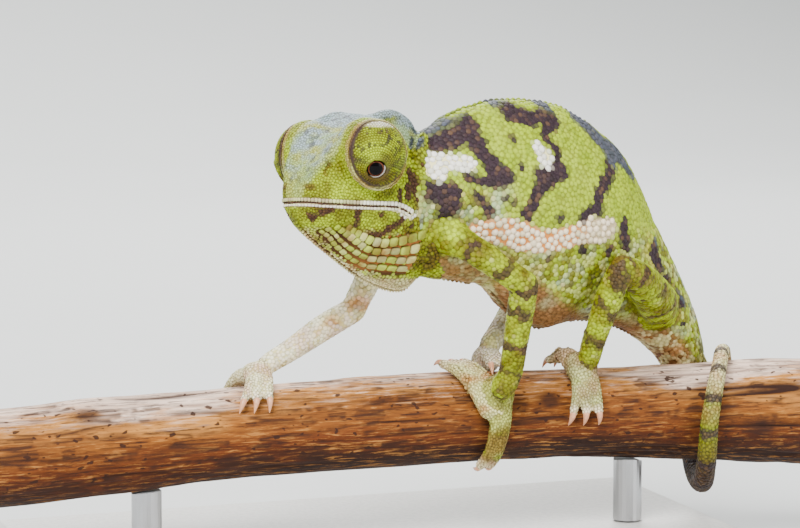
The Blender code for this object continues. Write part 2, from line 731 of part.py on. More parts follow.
# ======================================================================================
# perch, stand and eyes
# ======================================================================================
def perch_mesh(grow=0.0, ends=0.0):
    rings = []
    x0, x1 = PERCH_X[0] - ends, PERCH_X[1] + ends
    for i in range(15):
        x = x0 + (x1 - x0) * i / 14.0
        ring = []
        for k in range(20):
            a = 2.0 * math.pi * k / 20.0
            r = perch_radius(x, a) + grow
            ring.append(Vector((x, -r * math.sin(a), perch_axis(x) + r * math.cos(a))))
        rings.append(ring)
    return loft(rings)


def build_perch(collection):
    obj = add_object("perch", perch_mesh(), collection)
    obj.data.materials.append(material("perch_wood", COLOURS["perch"], 0.8))
    return obj


def build_stand(collection, cutters):
    bpy.ops.mesh.primitive_cube_add(size=1.0, location=(0.0, 0.0, BASE_SIZE[2] / 2))
    base = bpy.context.active_object
    base.name = base.data.name = "stand_base"
    base.data.transform(Matrix.Translation(base.location) @ Matrix.Diagonal((*BASE_SIZE, 1.0)))
    base.location = (0.0, 0.0, 0.0)
    bevel = base.modifiers.new("edge", "BEVEL")
    bevel.width = BASE_EDGE
    bevel.segments = 2
    base.data.materials.append(material("stand_base", COLOURS["stand_base"], 0.45))
    move_to(base, collection)
    apply_modifiers(base)
    clear = merge("perch_clearance", [perch_mesh(GAP, 3.0)], cutters)
    for name, x in zip(("stand_rod_left", "stand_rod_right"), ROD_X):
        foot, top = BASE_SIZE[2] + GAP, perch_axis(x) - 1.5
        bpy.ops.mesh.primitive_cylinder_add(vertices=24, radius=ROD_RADIUS, depth=top - foot,
                                            location=(x, 0.0, (top + foot) / 2))
        rod = bpy.context.active_object
        rod.name = rod.data.name = name
        rod.data.transform(Matrix.Translation(rod.location))
        rod.location = (0.0, 0.0, 0.0)
        rod.data.materials.append(material(name, COLOURS["stand_rod"], 0.3, 1.0))
        move_to(rod, collection)
        cut(rod, clear)


def move_to(obj, collection):
    for old in list(obj.users_collection):
        old.objects.unlink(obj)
    collection.objects.link(obj)


def build_eyes(flesh, collection, cutters):
    """Each eyeball sits in its own open socket under the turret's skin."""
    for side, word in ((1, "left"), (-1, "right")):
        place = eye_matrix(side)
        socket = merge("socket_" + word, [ball(place, (EYE_BALL_RADIUS + GAP,) * 3, 20)], cutters)
        cut(flesh, socket)
        eye = merge("eyeball_" + word, [ball(place, (EYE_BALL_RADIUS,) * 3, 16)], collection)
        eye.data.materials.append(material("eye_" + word, COLOURS["eyeball"], 0.1))


def to_metres(collection):
    for obj in collection.objects:
        obj.data.transform(Matrix.Scale(MM, 4))
        obj.data.update()
        for face in obj.data.polygons:
            face.use_smooth = not obj.name.startswith("stand")


def clear_scene():
    for obj in list(bpy.data.objects):
        bpy.data.objects.remove(obj)


def new_collection(name):
    collection = bpy.data.collections.new(name)
    bpy.context.scene.collection.children.link(collection)
    return collection


def main():
    clear_scene()
    chameleon = new_collection("chameleon")
    cutters = new_collection("cutters")
    build_perch(chameleon)
    build_stand(chameleon, cutters)
    flesh = fuse_flesh(cutters)
    cut(flesh, merge("perch_bed", [perch_mesh(GAP, 3.0)], cutters))
    build_eyes(flesh, chameleon, cutters)
    legs = [take_leg(flesh, name, cutters) for name in UPPER_LEGS]
    cut(flesh, mouth_cutter(cutters))
    for name, discs in (("body_cut", parting_discs()), ("foot_cut", foot_discs()),
                        ("tail_cut", tail_discs()), ("eye_cut", turret_cups())):
        for i, mesh in enumerate(discs):
            cut(flesh, merge("%s_%d" % (name, i), [mesh], cutters))
    pieces, named, spots = part_flesh([flesh] + legs, chameleon)
    for obj in [flesh] + legs:
        bpy.data.objects.remove(obj)
    missing = sorted(set(spots) - set(named))
    if missing or len(pieces) != len(spots):
        sizes = [(round(v, 2), tuple(round(c, 1) for c in centre)) for m, centre, v in pieces]
        print("pieces", len(pieces), "landmarks", len(spots), "missing", missing, sizes)
    to_metres(chameleon)
    for obj in cutters.objects:
        obj.hide_render = True
        obj.display_type = "WIRE"


main()
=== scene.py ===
"""Flap-necked chameleon on a display perch: one skin, its coat of scales, eyes, claws and perch.

Lengths inside the makers are in millimetres; every finished mesh is turned to metres.
Frame: X runs along the perch (head end -X), -Y is the animal's left side, Z is up.
"""
import math

import bmesh
import bpy
import numpy as np
from bpy.props import FloatProperty, FloatVectorProperty, IntProperty, PointerProperty
from mathutils import Matrix, Vector
from mathutils.bvhtree import BVHTree
from mathutils.kdtree import KDTree


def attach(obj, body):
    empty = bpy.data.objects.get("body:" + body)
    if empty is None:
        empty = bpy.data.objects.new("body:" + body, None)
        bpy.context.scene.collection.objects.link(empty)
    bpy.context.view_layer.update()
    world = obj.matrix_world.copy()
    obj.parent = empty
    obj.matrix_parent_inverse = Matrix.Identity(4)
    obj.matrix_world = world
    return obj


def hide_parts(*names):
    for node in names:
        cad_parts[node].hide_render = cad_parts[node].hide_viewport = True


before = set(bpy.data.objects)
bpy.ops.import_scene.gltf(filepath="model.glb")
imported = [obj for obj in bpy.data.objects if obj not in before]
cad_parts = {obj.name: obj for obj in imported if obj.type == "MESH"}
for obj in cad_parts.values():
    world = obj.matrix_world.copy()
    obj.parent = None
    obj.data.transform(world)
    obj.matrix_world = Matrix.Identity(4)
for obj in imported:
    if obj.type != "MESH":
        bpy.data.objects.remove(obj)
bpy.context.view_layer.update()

bl_info = {
    "name": "Flap-necked chameleon",
    "version": (1, 0, 0),
    "blender": (4, 5, 0),
    "location": "3D View > Sidebar > Chameleon",
    "description": "Skin, scales, eyes and claws of a young chameleon on its perch and stand",
    "category": "Object",
}

MM = 0.001
SEED = 7

# ======================================================================================
# frames of the animal, and the forms under its skin
# ======================================================================================
PERCH_HEIGHT = 21.0
PERCH_X = (-57.5, 65.0)
PERCH_RADIUS = 6.2
KNOTS = ((21.0, 62.0), (-24.0, 118.0), (52.0, 100.0), (-43.0, 40.0))     # place, degrees round


def axes_at(origin, yaw, pitch=0.0, roll=0.0):
    """Matrix with the columns forward (yawed from -X toward -Y, nose up), left and up."""
    yaw, pitch = math.radians(yaw), math.radians(pitch)
    flat = Vector((-math.cos(yaw), -math.sin(yaw), 0.0))
    left = Vector((math.sin(yaw), -math.cos(yaw), 0.0))
    up = Vector((0.0, 0.0, 1.0))
    fwd = flat * math.cos(pitch) + up * math.sin(pitch)
    top = up * math.cos(pitch) - flat * math.sin(pitch)
    c, s = math.cos(math.radians(roll)), math.sin(math.radians(roll))
    side, top = left * c + top * s, top * c - left * s
    m = Matrix.Identity(4)
    for row in range(3):
        m[row][0], m[row][1], m[row][2] = fwd[row], side[row], top[row]
        m[row][3] = origin[row]
    return m


BODY = axes_at((47.6, 7.0, PERCH_HEIGHT), 18.0)
HEAD = axes_at((-10.4, -10.7, PERCH_HEIGHT + 37.0), 27.0, 6.5, 5.0)

EYE_AT = (0.5, 5.1, 0.15)
TURRET_RADIUS = 4.8
RIM_AT = (0.6, 6.85, 0.0)
RIM_RADIUS = 4.45
EYE_TURN = 12.0
EYE_OFFSET = (0.96, 2.76, -1.55)     # eyeball's centre in the turret's frame
APERTURE = 1.22                      # opening between the fused lids
LID_SEAT = 4.68                      # height of the lids' thick edge over the turret's centre
DOME_EDGE, RIM_EDGE = 4.22, 4.78     # where a turret's dome gives way to its rim, and that ends
THROAT_BACK = -9.7                   # where the rows of large throat scales end


def body(u, v, w):
    return BODY @ Vector((u, v, w))


def head(f, l, z):
    return HEAD @ Vector((f, l, z))


def perch_axis(x):
    return PERCH_HEIGHT - 1.4 * (x / 50.0) ** 2


def perch_radius(x, a=0.0):
    swell = 1.35 * max(0.0, (x - 15.0) / 45.0) ** 1.6 + 0.35 * max(0.0, (-x - 10.0) / 45.0)
    return PERCH_RADIUS + swell + 0.12 * math.sin(0.13 * x + 0.8) + 0.10 * math.cos(
        3.0 * a + 0.05 * x)


def round_perch(x, degrees, lift):
    """Point 'lift' off the perch; degrees from its top toward the animal's left."""
    a = math.radians(degrees)
    r = perch_radius(x, a) + lift
    return Vector((x, -r * math.sin(a), perch_axis(x) + r * math.cos(a)))


def smooth_values(rows, t):
    """Catmull-Rom values between the rows of a short table, at 0 <= t <= rows-1."""
    n = len(rows)
    t = min(max(t, 0.0), n - 1.0001)
    i = int(t)
    k = t - i
    a, b, c, d = (rows[max(0, min(n - 1, i + j))] for j in (-1, 0, 1, 2))
    return [0.5 * (2 * q + (r - p) * k + (2 * p - 5 * q + 4 * r - s) * k * k
                   + (3 * q - p - 3 * r + s) * k ** 3) for p, q, r, s in zip(a, b, c, d)]


# Trunk: centre line (forward, up), half-depth to the back and to the belly, half-width.
TRUNK = ((50.5, 31.2, 8.0, 9.6, 4.2), (46.5, 31.0, 9.8, 10.9, 5.6), (41.0, 31.0, 11.9, 11.9, 6.6),
         (35.0, 30.2, 13.5, 12.3, 7.3), (28.0, 28.2, 14.1, 15.1, 7.6),
         (20.5, 25.4, 12.1, 15.4, 7.2), (13.5, 20.4, 7.7, 10.8, 6.0), (7.6, 14.2, 5.9, 6.4, 4.7),
         (3.4, 8.8, 4.7, 4.2, 3.7), (0.9, 4.4, 3.5, 3.0, 3.1))
# Head rings: place, crown height and half-width, cheek and jaw half-width, keel of the throat.
HEAD_RINGS = ((8.9, -4.7, 0.8, 1.2, 1.1, -7.0), (8.5, -3.7, 1.7, 2.2, 2.0, -8.3),
              (7.7, -2.3, 2.4, 3.2, 3.0, -9.4), (6.4, -0.6, 3.0, 4.1, 3.9, -10.5),
              (4.6, 1.3, 3.5, 4.8, 4.7, -11.6), (2.6, 2.8, 3.8, 5.2, 5.1, -12.7),
              (-0.2, 4.5, 4.1, 5.7, 5.6, -14.2), (-3.6, 6.0, 4.2, 6.1, 6.0, -15.8),
              (-7.0, 5.9, 3.9, 6.2, 6.2, -16.8), (-10.0, 4.8, 3.1, 5.9, 6.0, -17.3),
              (-12.4, 3.0, 2.2, 5.0, 5.2, -17.0), (-14.6, 0.2, 1.4, 3.6, 4.0, -15.0))
MOUTH_LINE = ((9.3, -6.25), (7.1, -6.4), (4.8, -6.47), (1.9, -6.5), (-1.3, -6.45), (-3.8, -6.45),
              (-5.2, -6.75), (-6.5, -7.25), (-6.9, -7.45))
LEGS = {
    "left_upper_arm": ((47.5, 3.2, 26.6, 2.5), (45.6, 6.6, 24.8, 2.1), (41.6, 8.7, 21.8, 1.9),
                       (38.6, 9.4, 19.6, 1.9)),
    "left_forearm": ((38.6, 9.4, 19.6, 1.95), (38.3, 8.2, 15.8, 1.9), (38.0, 6.8, 11.2, 1.75),
                     (37.5, 5.3, 7.4, 1.7), (38.2, 4.6, 5.4, 1.8)),
    "right_upper_arm": ((49.0, -3.2, 26.5, 2.5), (50.4, -6.4, 22.5, 2.1), (51.6, -9.0, 17.6, 1.8),
                        (52.4, -9.6, 15.4, 1.75)),
    "right_forearm": ((52.4, -9.6, 15.4, 1.75), (56.2, -11.0, 13.3, 1.85),
                      (60.4, -12.4, 10.6, 1.6), (63.6, -13.4, 8.8, 1.45)),
    "left_thigh": ((9.0, 2.6, 13.6, 3.3), (12.6, 6.2, 15.4, 3.0), (18.4, 9.6, 18.8, 2.5),
                   (22.8, 11.0, 20.8, 1.9)),
    "left_shank": ((22.8, 11.0, 20.8, 1.95), (23.6, 9.2, 16.6, 2.0), (23.9, 7.0, 11.6, 1.75),
                   (23.6, 5.2, 7.8, 1.6)),
    "right_thigh": ((8.0, -2.6, 13.0, 3.2), (11.6, -6.6, 14.2, 2.9), (16.2, -9.8, 15.6, 2.4),
                    (19.8, -11.4, 16.2, 1.9)),
    "right_shank": ((19.8, -11.4, 16.2, 1.95), (23.8, -9.6, 14.0, 1.95), (28.2, -7.6, 11.2, 1.7),
                    (31.2, -6.6, 9.2, 1.55)),
}
LIMBS = {"left_foreleg": ("left_upper_arm", "left_forearm"),
         "right_foreleg": ("right_upper_arm", "right_forearm"),
         "left_hindleg": ("left_thigh", "left_shank"),
         "right_hindleg": ("right_thigh", "right_shank")}
# Toe bundles: x and angle round the perch at root and tips, count, spacing, half-thickness, arch.
TOE_BUNDLES = {
    "left_forefoot_outer": ((13.4, 64.0), (12.0, 142.0), 2, 1.55, 0.95, 0.0),
    "left_forefoot_inner": ((12.0, 74.0), (9.0, 4.0), 3, 1.60, 1.0, 0.1),
    "right_forefoot_inner": ((-18.7, 8.0), (-20.3, 44.0), 3, 1.75, 0.80, 0.3),
    "right_forefoot_outer": ((-19.3, -6.0), (-21.0, -74.0), 2, 1.60, 0.90, 0.3),
    "left_hindfoot_outer": ((26.4, 36.0), (25.6, 80.0), 3, 1.90, 0.85, 0.3),
    "left_hindfoot_inner": ((25.4, 20.0), (24.6, -12.0), 2, 1.45, 0.95, 1.0),
    "right_hindfoot_inner": ((15.2, -22.0), (14.9, 9.0), 2, 1.70, 0.95, 0.6),
    "right_hindfoot_outer": ((15.2, -40.0), (14.8, -104.0), 3, 1.60, 0.85, 0.2),
}
PALMS = {
    "left_forefoot": (round_perch(12.9, 58.0, 2.0), (2.3, 1.9, 2.7)),
    "right_forefoot": (round_perch(-18.9, 2.0, 1.7), (2.0, 2.2, 1.5)),
    "left_hindfoot": (round_perch(26.2, 30.0, 1.9), (2.3, 2.3, 2.2)),
    "right_hindfoot": (round_perch(15.3, -28.0, 1.8), (2.0, 2.2, 2.0)),
}
# Tail: x, angle round the perch, distance of its centre from the wood, half-thickness.
TAIL = ((49.2, -66.0, 3.2, 2.55), (49.4, -90.0, 2.6, 2.2), (49.0, -120.0, 3.0, 1.95),
        (47.8, -150.0, 3.1, 1.75), (46.3, -180.0, 3.0, 1.58), (44.6, -210.0, 2.5, 1.5),
        (43.6, -240.0, 1.9, 1.42), (43.4, -268.0, 1.6, 1.34), (44.6, -298.0, 1.5, 1.26),
        (46.6, -326.0, 1.45, 1.18), (48.6, -352.0, 1.4, 1.1), (51.0, -380.0, 1.25, 0.98),
        (53.2, -410.0, 1.15, 0.86), (54.6, -440.0, 1.05, 0.74), (55.2, -468.0, 0.95, 0.6),
        (55.0, -490.0, 0.85, 0.46))


def new_object(name, mesh):
    obj = bpy.data.objects.new(name, mesh)
    bpy.context.scene.collection.objects.link(obj)
    return obj


def evaluated_mesh(obj):
    bpy.context.view_layer.update()
    graph = bpy.context.evaluated_depsgraph_get()
    return bpy.data.meshes.new_from_object(obj.evaluated_get(graph))


def loft(rings):
    """Closed solid through equal rings of points, its ends closed by fans."""
    bm = bmesh.new()
    rows = [[bm.verts.new(p) for p in ring] for ring in rings]
    count = len(rows[0])
    for a, b in zip(rows, rows[1:]):
        for i in range(count):
            j = (i + 1) % count
            bm.faces.new((a[i], a[j], b[j], b[i]))
    for row in (rows[0], rows[-1]):
        hub = bm.verts.new(sum((v.co for v in row), Vector()) / count)
        for i in range(count):
            bm.faces.new((row[i], row[(i + 1) % count], hub))
    bmesh.ops.recalc_face_normals(bm, faces=bm.faces)
    mesh = bpy.data.meshes.new("loft")
    bm.to_mesh(mesh)
    bm.free()
    return mesh


def ring_tube(points, radii, steps=5, sides=14):
    """Tapered tube with round ends, its rings carried along without twist."""
    rows = [tuple(p) + (r,) for p, r in zip(points, radii)]
    dense = [smooth_values(rows, i / steps) for i in range((len(rows) - 1) * steps + 1)]
    line = [(Vector(d[:3]), max(d[3], 0.04)) for d in dense]

    def cap(tip, inner):
        out = (tip[0] - inner[0]).normalized() * tip[1]
        return [(tip[0] + out * c, tip[1] * math.sqrt(1 - c * c)) for c in (0.45, 0.8, 0.97)]

    line = cap(line[0], line[1])[::-1] + line + cap(line[-1], line[-2])
    across = None
    rings = []
    for i, (p, r) in enumerate(line):
        along = (line[min(i + 1, len(line) - 1)][0] - line[max(i - 1, 0)][0]).normalized()
        if across is None:
            across = along.orthogonal()
        across = (across - along * across.dot(along)).normalized()
        other = along.cross(across)
        rings.append([p + (across * math.cos(a) + other * math.sin(a)) * r for a in
                      (2 * math.pi * k / sides for k in range(sides))])
    return loft(rings)


def ball(matrix, size, segments=36, rings=18):
    bm = bmesh.new()
    bmesh.ops.create_uvsphere(bm, u_segments=segments, v_segments=rings, radius=1.0,
                              matrix=matrix @ Matrix.Diagonal((*size, 1.0)))
    mesh = bpy.data.meshes.new("ball")
    bm.to_mesh(mesh)
    bm.free()
    return mesh


def join(name, meshes):
    bm = bmesh.new()
    for mesh in meshes:
        bm.from_mesh(mesh)
    out = bpy.data.meshes.new(name)
    bm.to_mesh(out)
    bm.free()
    return out


def trunk_form():
    samples = 8 * (len(TRUNK) - 1)
    centres = [smooth_values(TRUNK, i / 8.0) for i in range(samples + 1)]
    rings = []
    for i, (u, w, up, down, wide) in enumerate(centres):
        a, b = centres[max(0, i - 1)], centres[min(samples, i + 1)]
        along = Vector((a[0] - b[0], a[1] - b[1])).normalized()
        ring = []
        for k in range(56):
            t = 2.0 * math.pi * k / 56.0
            s, c = math.sin(t), math.cos(t)
            h = (up if s > 0 else down) * math.copysign(abs(s) ** 0.95, s)
            pinch = 1.0 - 0.34 * max(0.0, s) ** 1.5 - 0.10 * max(0.0, -s) ** 2
            v = wide * pinch * math.copysign(abs(c) ** 0.86, c)
            ring.append(body(u - along.y * h, v, w + along.x * h))
        rings.append(ring)
    return loft(rings)


def head_form():
    samples = 6 * (len(HEAD_RINGS) - 1)
    rings = []
    for i in range(samples + 1):
        f, crown, top, cheek, jaw, keel = smooth_values(HEAD_RINGS, i / 6.0)
        mouth = -6.0 + 0.12 * min(0.0, f)
        side = ((0.0, crown - 0.45), (0.62 * top, crown - 0.1), (top, crown - 0.5),
                (0.5 * (top + cheek), crown * 0.45 + mouth * 0.55 + 1.2),
                (cheek, mouth + 1.6), (jaw, mouth - 0.4),
                (0.90 * jaw, mouth + 0.30 * (keel - mouth)),
                (0.66 * jaw, mouth + 0.62 * (keel - mouth)),
                (0.30 * jaw, mouth + 0.88 * (keel - mouth)), (0.0, keel))
        half = [smooth_values(side, k / 4.0) for k in range(37)]
        half[0][0] = half[-1][0] = 0.0
        ring = [head(f, l, z) for l, z in half]
        ring += [head(f, -l, z) for l, z in reversed(half[1:-1])]
        rings.append(ring)
    return loft(rings)


def turret_matrix(side, at=EYE_AT):
    turn = Matrix.Rotation(math.radians(-side * EYE_TURN), 4, "Z")
    return HEAD @ Matrix.Translation((at[0], side * at[1], at[2])) @ turn


def eye_centre(side):
    x, y, z = EYE_OFFSET
    return turret_matrix(side) @ Vector((x, side * y, z))


def eye_axis(side):
    return (eye_centre(side) - turret_matrix(side).translation).normalized()


def circle(matrix, radius, count=32):
    return [matrix @ Vector((radius * math.cos(a), 0.0, radius * math.sin(a))) for a in
            (2 * math.pi * k / count for k in range(count + 1))]


def turret_forms(side):
    """Dome of one eye, the raised rim round its root and the thick edge of its lids."""
    def hoop(matrix, radius, thick):
        return ring_tube(circle(matrix, radius), [thick] * 33, steps=1, sides=10)

    axis = eye_axis(side)
    seat = Matrix.Translation(turret_matrix(side).translation + axis * LID_SEAT)
    turn = axis.to_track_quat("Y", "Z").to_matrix().to_4x4()
    return [ball(turret_matrix(side), (TURRET_RADIUS,) * 3, 64, 32),
            hoop(turret_matrix(side, RIM_AT), RIM_RADIUS, 0.27),
            hoop(seat @ turn, APERTURE + 0.30, 0.26)]


def ridge_forms(s):
    """Ridge from the nose over the eye to the casque, and the flap behind the cheek."""
    brow = [head(8.2, s * 1.9, -3.9), head(7.2, s * 2.7, -1.9), head(5.4, s * 3.5, 0.4),
            head(3.2, s * 4.0, 2.3), head(0.0, s * 4.4, 4.4), head(-4.0, s * 4.4, 5.6),
            head(-8.0, s * 3.7, 4.8), head(-11.0, s * 2.2, 3.6)]
    radii = [0.5, 0.6, 0.65, 0.7, 0.75, 0.75, 0.7, 0.6]
    turn = Matrix.Rotation(math.radians(s * 14.0), 4, "Z")
    flap = ball(HEAD @ Matrix.Translation((-9.9, s * 5.3, -1.4)) @ turn, (2.3, 0.8, 5.2))
    return [ring_tube(brow, radii), flap]


def toe_path(name, index):
    (x0, a0), (x1, a1), count, step, thick, arch = TOE_BUNDLES[name]
    side = index - (count - 1) / 2.0
    points = []
    for k in range(6):
        t = k / 5.0
        x = x0 + (x1 - x0) * t + side * step * (0.45 + 0.55 * t)
        lift = thick * (1.25 - 0.15 * t) + 0.1 + arch * math.sin(math.pi * min(1.0, t + 0.15))
        points.append(round_perch(x, a0 + (a1 - a0) * t, lift))
    return points


def tail_point(t):
    x, angle, lift, thick = smooth_values(TAIL, t)
    return round_perch(x, angle, lift), thick


def tail_line():
    samples = [tail_point(i / 2.0) for i in range(2 * len(TAIL) - 1)]
    points = [body(6.0, 0.0, 12.6), body(3.2, -0.2, 8.0)] + [p for p, _ in samples]
    return points, [3.6, 3.2] + [r for _, r in samples]


def flesh_forms():
    """Every closed form that the skin is fused from."""
    neck = [head(-6.0, 0.0, -2.0), head(-10.5, 0.0, -2.6), body(47.5, 0.4, 32.0),
            body(43.0, 0.0, 31.0)]
    forms = [trunk_form(), head_form(), ring_tube(*tail_line(), steps=3, sides=18),
             ring_tube(neck, [4.6, 5.2, 5.8, 6.0], sides=20)]
    for side in (1, -1):
        forms += turret_forms(side) + ridge_forms(side)
    for rows in LEGS.values():
        forms.append(ring_tube([body(*r[:3]) for r in rows], [r[3] for r in rows], sides=18))
    for name, bundle in TOE_BUNDLES.items():
        for index in range(bundle[2]):
            radii = [bundle[4] * r for r in (1.30, 1.22, 1.06, 0.88, 0.80, 0.74)]
            forms.append(ring_tube(toe_path(name, index), radii, steps=3, sides=12))
    for centre, size in PALMS.values():
        forms.append(ball(Matrix.Translation(centre), size))
    return forms


# ======================================================================================
# where a point lies on the animal
# ======================================================================================
def unit(a):
    return a / np.maximum(np.linalg.norm(a, axis=-1, keepdims=True), 1e-9)


def to_local(matrix, points):
    m = np.array(matrix.inverted())
    return points @ m[:3, :3].T + m[:3, 3]


def smooth(lo, hi, x):
    """0 below lo, 1 above hi, smooth between; lo may be the larger."""
    t = np.clip((x - lo) / (hi - lo), 0.0, 1.0)
    return t * t * (3.0 - 2.0 * t)


class Charts:
    """The animal's parts as centre lines: each has a length and an angle round it."""

    def __init__(self):
        self.names, self.rows = [], []
        rows = [smooth_values(TRUNK, i / 4.0) for i in range(4 * (len(TRUNK) - 1) + 1)]
        self.add("trunk", [body(r[0], 0.0, r[1] + (r[2] - r[3]) / 2) for r in rows],
                 [(r[2] + r[3]) / 2 for r in rows])
        rows = [smooth_values(HEAD_RINGS, i / 3.0) for i in range(3 * len(HEAD_RINGS) - 5)]
        self.add("head", [head(r[0], 0.0, (r[1] + r[5]) / 2) for r in rows],
                 [(r[1] - r[5]) / 2 for r in rows])
        points, radii = tail_line()
        self.add("tail", points, radii)
        for name, parts in LIMBS.items():
            rows = LEGS[parts[0]][:-1] + LEGS[parts[1]]
            self.add(name, [body(*r[:3]) for r in rows], [r[3] for r in rows])
        for name, (centre, size) in PALMS.items():
            self.add(name, [centre - Vector((0, 0, 0.4)), centre, centre + Vector((0, 0, 0.4))],
                     [sum(size) / 3] * 3)
        for name, bundle in TOE_BUNDLES.items():
            for index in range(bundle[2]):
                self.add("%s_%d" % (name, index), toe_path(name, index), [bundle[4] * 1.1] * 6)
        cols = list(zip(*self.rows))
        self.pos, self.radius, self.tangent, self.chart, self.along = (
            np.array(c, float) for c in cols)
        self.chart = self.chart.astype(int)
        spans = [self.along[self.chart == i] for i in range(len(self.names))]
        self.start, self.reach = (np.array([end(s) for s in spans]) for end in (np.min, np.max))

    def add(self, name, points, radii):
        rows = [tuple(p) + (r,) for p, r in zip(points, radii)]
        dense = np.array([smooth_values(rows, i / 4.0) for i in range((len(rows) - 1) * 4 + 1)])
        tangent = unit(np.gradient(dense[:, :3], axis=0))
        along = lengths(dense[:, :3])
        chart = len(self.names)
        self.names.append(name)
        for d, t, s in zip(dense, tangent, along):
            self.rows.append((tuple(d[:3]), d[3], tuple(t), chart, s))

    def find(self, points):
        """Chart, length along it, direction of growth, angle round it and lean to the left."""
        n = len(points)
        nearest = np.zeros(n, int)
        for a in range(0, n, 3000):
            block = points[a:a + 3000]
            gap = np.linalg.norm(block[:, None, :] - self.pos[None], axis=2) / self.radius[None]
            nearest[a:a + 3000] = gap.argmin(1)
        chart, tangent = self.chart[nearest], self.tangent[nearest]
        off = points - self.pos[nearest]
        along = self.along[nearest] + (off * tangent).sum(1)
        basis = np.array([list(BODY.col[i][:3]) for i in range(3)])
        angle = np.zeros(n)
        for c in range(len(self.names)):
            pick = chart == c
            if not pick.any():
                continue
            t = tangent[pick]
            if self.names[c] in ("trunk", "head"):
                ref = basis[1]
            elif "foot" in self.names[c] or self.names[c] == "tail":
                ref = np.array((1.0, 0.0, 0.0))
            else:
                ref = basis[np.abs(t.mean(0) @ basis.T).argmin()]
            a = unit(ref - (t @ ref)[:, None] * t)
            b = np.cross(t, a)
            o = off[pick]
            angle[pick] = np.arctan2((o * b).sum(1), (o * a).sum(1))
        return chart, along, tangent, angle, off @ basis[1] / self.radius[nearest]

    def gap(self, points, names):
        """Distance from each point to the round side of the nearest of some parts."""
        best = np.full(len(points), 9.0)
        for name in names:
            rows = self.chart == self.names.index(name)
            gap = np.linalg.norm(points[:, None, :] - self.pos[rows][None], axis=2)
            best = np.minimum(best, (gap - self.radius[rows]).min(1))
        return best

    def named(self, word, chart):
        """Whether the names of some charts hold a word."""
        return np.array([word in name for name in self.names])[chart]

    def kind(self, chart):
        """0 trunk, 1 head, 2 tail, 3 leg, 4 palm, 5 toe."""
        ids = np.array([0, 1, 2] + [3] * 4 + [4] * 4 + [5] * (len(self.names) - 11))
        return ids[chart]

    def place(self, chart, along, angle):
        """Place on a flat plan of the whole skin, one cell for each part."""
        cells = [(0.50, 0.0, 0.49, 0.49), (0.0, 0.0, 0.49, 0.49), (0.0, 0.50, 0.99, 0.11)]
        cells += [(0.25 * i, 0.62, 0.24, 0.20) for i in range(4)]
        small = len(self.names) - 7
        cells += [((i % 12) / 12.0, 0.83 + 0.085 * (i // 12), 0.075, 0.078) for i in range(small)]
        cells = np.array(cells)[chart]
        span = np.maximum(self.reach - self.start, 1.0)[chart]
        s = np.clip((along - self.start[chart] + 2.0) / (span + 4.0), 0.0, 1.0)
        a = angle / (2 * math.pi) + 0.5
        return np.stack([cells[:, 0] + cells[:, 2] * s, cells[:, 1] + cells[:, 3] * a], 1)


# ======================================================================================
# markings
# ======================================================================================
def lattice(cell, seed):
    """A fixed value between -1 and 1 for each whole-number cell."""
    n = (cell[..., 0] * 73856093) ^ (cell[..., 1] * 19349663) ^ (cell[..., 2] * 83492791)
    n = (n ^ (seed * 2654435761)) & 0x7FFFFFFF
    n = (n * 1103515245 + 12345) & 0x7FFFFFFF
    n = ((n >> 13) ^ n) & 0x7FFFFFFF
    n = (n * (n * 15731 % 789221 + 1376312589)) & 0x7FFFFFFF
    return 1.0 - n / float(0x3FFFFFFF)


def fuzz(points, scale, seed=0):
    """Smooth value noise; scale is the size of a cell in millimetres."""
    p = points / scale + 1000.0
    low = np.floor(p).astype(np.int64)
    t = p - low
    t = t * t * (3 - 2 * t)
    total = 0.0
    for dx in (0, 1):
        for dy in (0, 1):
            for dz in (0, 1):
                weight = (np.where(dx, t[:, 0], 1 - t[:, 0]) * np.where(dy, t[:, 1], 1 - t[:, 1])
                          * np.where(dz, t[:, 2], 1 - t[:, 2]))
                total = total + weight * lattice(low + np.array((dx, dy, dz)), seed)
    return total


def stroke(x, y, rows):
    """How far inside a brush stroke each point lies; rows are (x, y, half-width)."""
    best = np.full(len(x), -99.0)
    if len(rows) == 1:
        rows = rows * 2
    for (x0, y0, r0), (x1, y1, r1) in zip(rows, rows[1:]):
        dx, dy = x1 - x0, y1 - y0
        t = np.clip(((x - x0) * dx + (y - y0) * dy) / max(dx * dx + dy * dy, 1e-6), 0, 1)
        d = np.hypot(x - x0 - dx * t, y - y0 - dy * t)
        best = np.maximum(best, r0 + (r1 - r0) * t - d)
    return best


